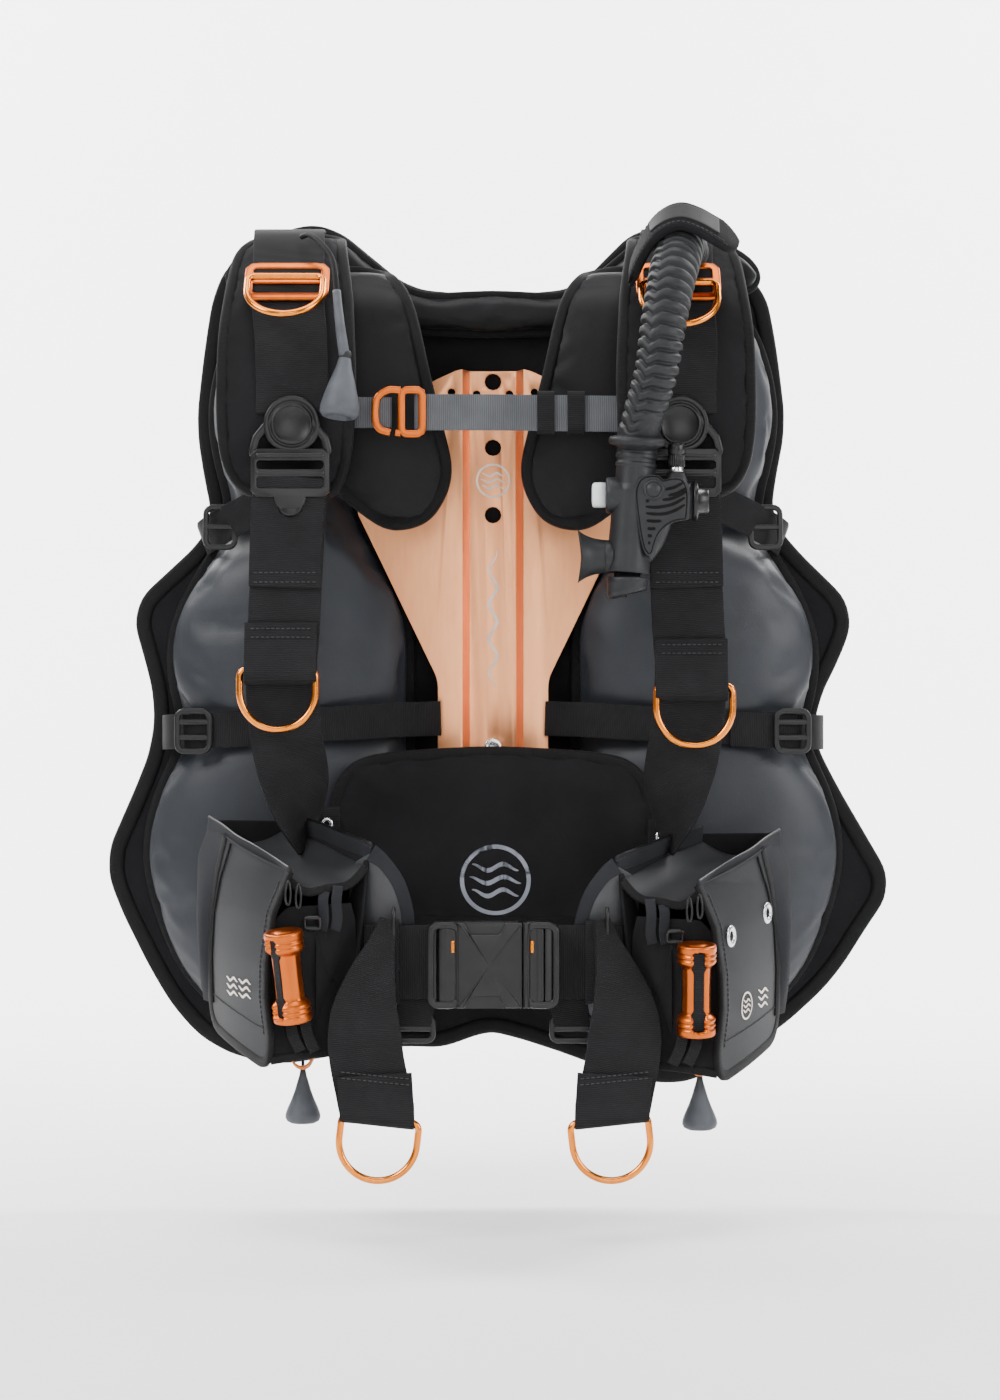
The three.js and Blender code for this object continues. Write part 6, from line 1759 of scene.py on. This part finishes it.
# %% Cylinder band and pad
def make_band():
    low, high = (np.array(c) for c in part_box("cam_band"))
    middle_at = (low + high) / 2
    thick = 0.0028
    loop = edge_loop(high[0] - low[0] - thick, high[1] - low[1] - thick, 0.030, 220)
    line = into_space(loop, middle_at, right=(1, 0, 0), up=(0, 1, 0))
    dress(strap("band_webbing", line, (0, 0, 1), high[2] - low[2] - 0.001, thick, closed=True), "root",
          "black_webbing", BLACK_WEB, "cam_band")
    rear = high[1] + 0.0003
    rows = []
    for x in (-0.034, -0.041, 0.055, 0.062):
        rows.append(path(mm((x * 1e3, rear * 1e3, middle_at[2] * 1e3 - 21), (x * 1e3, rear * 1e3, middle_at[2] * 1e3),
                            (x * 1e3, rear * 1e3, middle_at[2] * 1e3 + 21)) / MM, 12))
    stitches("band_stitches", rows, (0, 1, 0))
    end = [(-36, rear * 1e3 + 1.4, 60), (-60, rear * 1e3 + 1.6, 60), (-84, rear * 1e3 + 1.2, 60), (-96, rear * 1e3 + 0.9, 60)]
    web("band_free_end", end, (0, 0, 1), 0.048, 0.0024)
    base = refined("band_buckle", "cam_buckle", 0.0012, 3)
    dress(base, "root", "black_plastic", ACETAL, "cam_buckle")
    lever = refined("band_lever", "cam_lever", 0.0014, 3)
    dress(lever, "cam_lever", "black_plastic", ACETAL, "cam_lever")
    a, b = (np.array(c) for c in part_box("cam_lever"))
    for k, x in enumerate(np.linspace(a[0] + 0.006, a[0] + 0.020, 5)):
        ends = np.array([(x, b[1] - 0.0004, a[2] + 0.006), (x, b[1] - 0.0004, (a[2] + b[2]) / 2), (x, b[1] - 0.0004, b[2] - 0.006)])
        dress(tube(f"lever_grip_{k}", respaced(ends, 16), 0.0011, 10), "cam_lever", "black_plastic", ACETAL)
    plate = [(a[0] * 1e3 + 28, a[2] * 1e3 + 9), (b[0] * 1e3 - 14, a[2] * 1e3 + 9), (b[0] * 1e3 - 14, b[2] * 1e3 - 9),
             (a[0] * 1e3 + 28, b[2] * 1e3 - 9)]
    grid = np.array([[(x, b[1] * 1e3 + d, z) for x, z in plate] for d in (-0.6, 0.5)]) * MM
    centre = grid.mean(1, keepdims=True)
    tile = np.concatenate([np.broadcast_to(centre[:1], grid[:1].shape), grid, np.broadcast_to(centre[1:], grid[:1].shape)])
    inset = surface("lever_inset", tile, wrap=(False, True), smooth=False)
    inset.modifiers.new("edges", "BEVEL").width = 0.0004
    dress(inset, "cam_lever", "black_plastic", SATIN_PLASTIC)


make_band()
pad = refined("band_pad", "cylinder_pad", 0.0012, 2)
dress(pad, "root", "black_rubber", RUBBER, "cylinder_pad")
low, high = (np.array(c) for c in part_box("cylinder_pad"))
ribs = []
for k, z in enumerate(np.linspace(low[2] + 0.012, high[2] - 0.012, 16)):
    if abs(z - 0.060) < 0.030:
        continue
    for x0, x1 in ((low[0] + 0.007, -0.007), (0.007, high[0] - 0.007)):
        ends = np.array([(x0, high[1] - 0.0002, z), ((x0 + x1) / 2, high[1] - 0.0002, z), (x1, high[1] - 0.0002, z)])
        ribs.append(tube(f"rib_{k}_{x0 > 0}", respaced(ends, 14), 0.0013, 10))
dress(joined("pad_ribs", ribs), "root", "black_rubber", RUBBER)


# %% Sign on the lumbar pad
def press_on(piece, target, lift):
    """Drops a flat print made in front of a soft piece back onto its surface."""
    hug = piece.modifiers.new("lie on the cloth", "SHRINKWRAP")
    hug.target, hug.wrap_method, hug.wrap_mode = target, "PROJECT", "ABOVE_SURFACE"
    hug.use_project_y, hug.use_positive_direction, hug.use_negative_direction = True, True, False
    hug.use_project_x = hug.use_project_z = False
    hug.offset = lift
    return piece


back_sign = waves_in_ring("lumbar_sign", 0.0252, (0.0018, -0.130, -0.1785))
dress(back_sign, "root", "pocket_fabric", PRINT)
press_on(back_sign, lumbar, 0.0003)
print("back and signs ready")
# %% [markdown]
# ## The studio
# A pale floor that curves up into a backdrop, and large soft lights on both sides and above. The
# vest is nearly all black, so the lights are wide: it is their reflection that shows the ribs,
# folds and edges.

# %% Floor and lights
FLOOR_Z = -0.415


def make_studio():
    """A floor that bends up into a wall: a quarter circle between two flats."""
    turn = np.linspace(0, np.pi / 2, 24)
    bend = np.stack([1.6 + 1.2 * np.sin(turn), 1.2 - 1.2 * np.cos(turn)], 1)
    line = np.vstack([[-8.0, 0], [1.4, 0], bend, [2.8, 6.0]])
    x = np.linspace(-8.0, 8.0, 3)
    y, z = line.T[:, :, None]
    points = np.stack(np.broadcast_arrays(x[None], y, z + FLOOR_Z), -1)
    floor = surface("studio_floor", points)
    floor.data.materials.append(studio_finish())


def studio_finish():
    """Pale paint that fades out away from the vest, and that is clear from behind the wall."""
    f = Finish("pale studio floor", base_color=(0.93, 0.93, 0.93, 1), roughness=0.7)
    x, y, z = f.xyz()
    away = (x * x + y * y).math("SQRT").between(3.0, 6.0)
    facing = Value(f.tree, add(f.tree, "ShaderNodeNewGeometry").outputs["Backfacing"])
    clear = add(f.tree, "ShaderNodeBsdfTransparent")
    mix = add(f.tree, "ShaderNodeMixShader", None,
              {0: away.math("MAXIMUM", 1 - facing), 1: f.shader.outputs[0], 2: clear.outputs[0]})
    end = f.tree.nodes["Material Output"]
    f.tree.links.new(mix.outputs[0], end.inputs["Surface"])
    return f.material


def add_light(name, at, size, power, aim=(0, 0, 0)):
    """A square soft light that faces a point."""
    data = bpy.data.lights.new(name, "AREA")
    data.shape, data.size, data.energy = "SQUARE", size, power
    lamp = bpy.data.objects.new(name, data)
    lamp.location = at
    toward = np.array(aim, float) - np.array(at, float)
    lamp.rotation_euler = (math.atan2(math.hypot(*toward[:2]), -toward[2]), 0,
                           math.atan2(toward[1], toward[0]) - math.pi / 2)
    bpy.context.scene.collection.objects.link(lamp)


def light_world():
    world = bpy.data.worlds.new("studio")
    bpy.context.scene.world = world
    world.use_nodes = True
    back = world.node_tree.nodes["Background"]
    back.inputs[0].default_value = (1, 1, 1, 1)
    back.inputs[1].default_value = 0.28
    tree = world.node_tree
    pale = add(tree, "ShaderNodeBackground", None, {0: (1, 1, 1, 1), 1: 2.4})
    seen = add(tree, "ShaderNodeLightPath").outputs["Is Camera Ray"]
    mix = add(tree, "ShaderNodeMixShader", None, {0: seen, 1: back.outputs[0], 2: pale.outputs[0]})
    tree.links.new(mix.outputs[0], tree.nodes["World Output"].inputs["Surface"])


make_studio()
light_world()
add_light("key", (-1.9, -1.5, 1.5), 1.2, 75)
add_light("fill", (2.1, -1.3, 0.7), 1.2, 50)
add_light("top", (0, -0.4, 2.2), 1.5, 45)
add_light("front", (0.2, -3.4, 0.9), 2.0, 42)
add_light("backdrop_left", (-1.7, 1.1, 1.7), 1.2, 190, (-0.5, 3.0, 0.2))
add_light("backdrop_right", (1.7, 1.1, 1.7), 1.2, 190, (0.5, 3.0, 0.2))
print("studio ready")
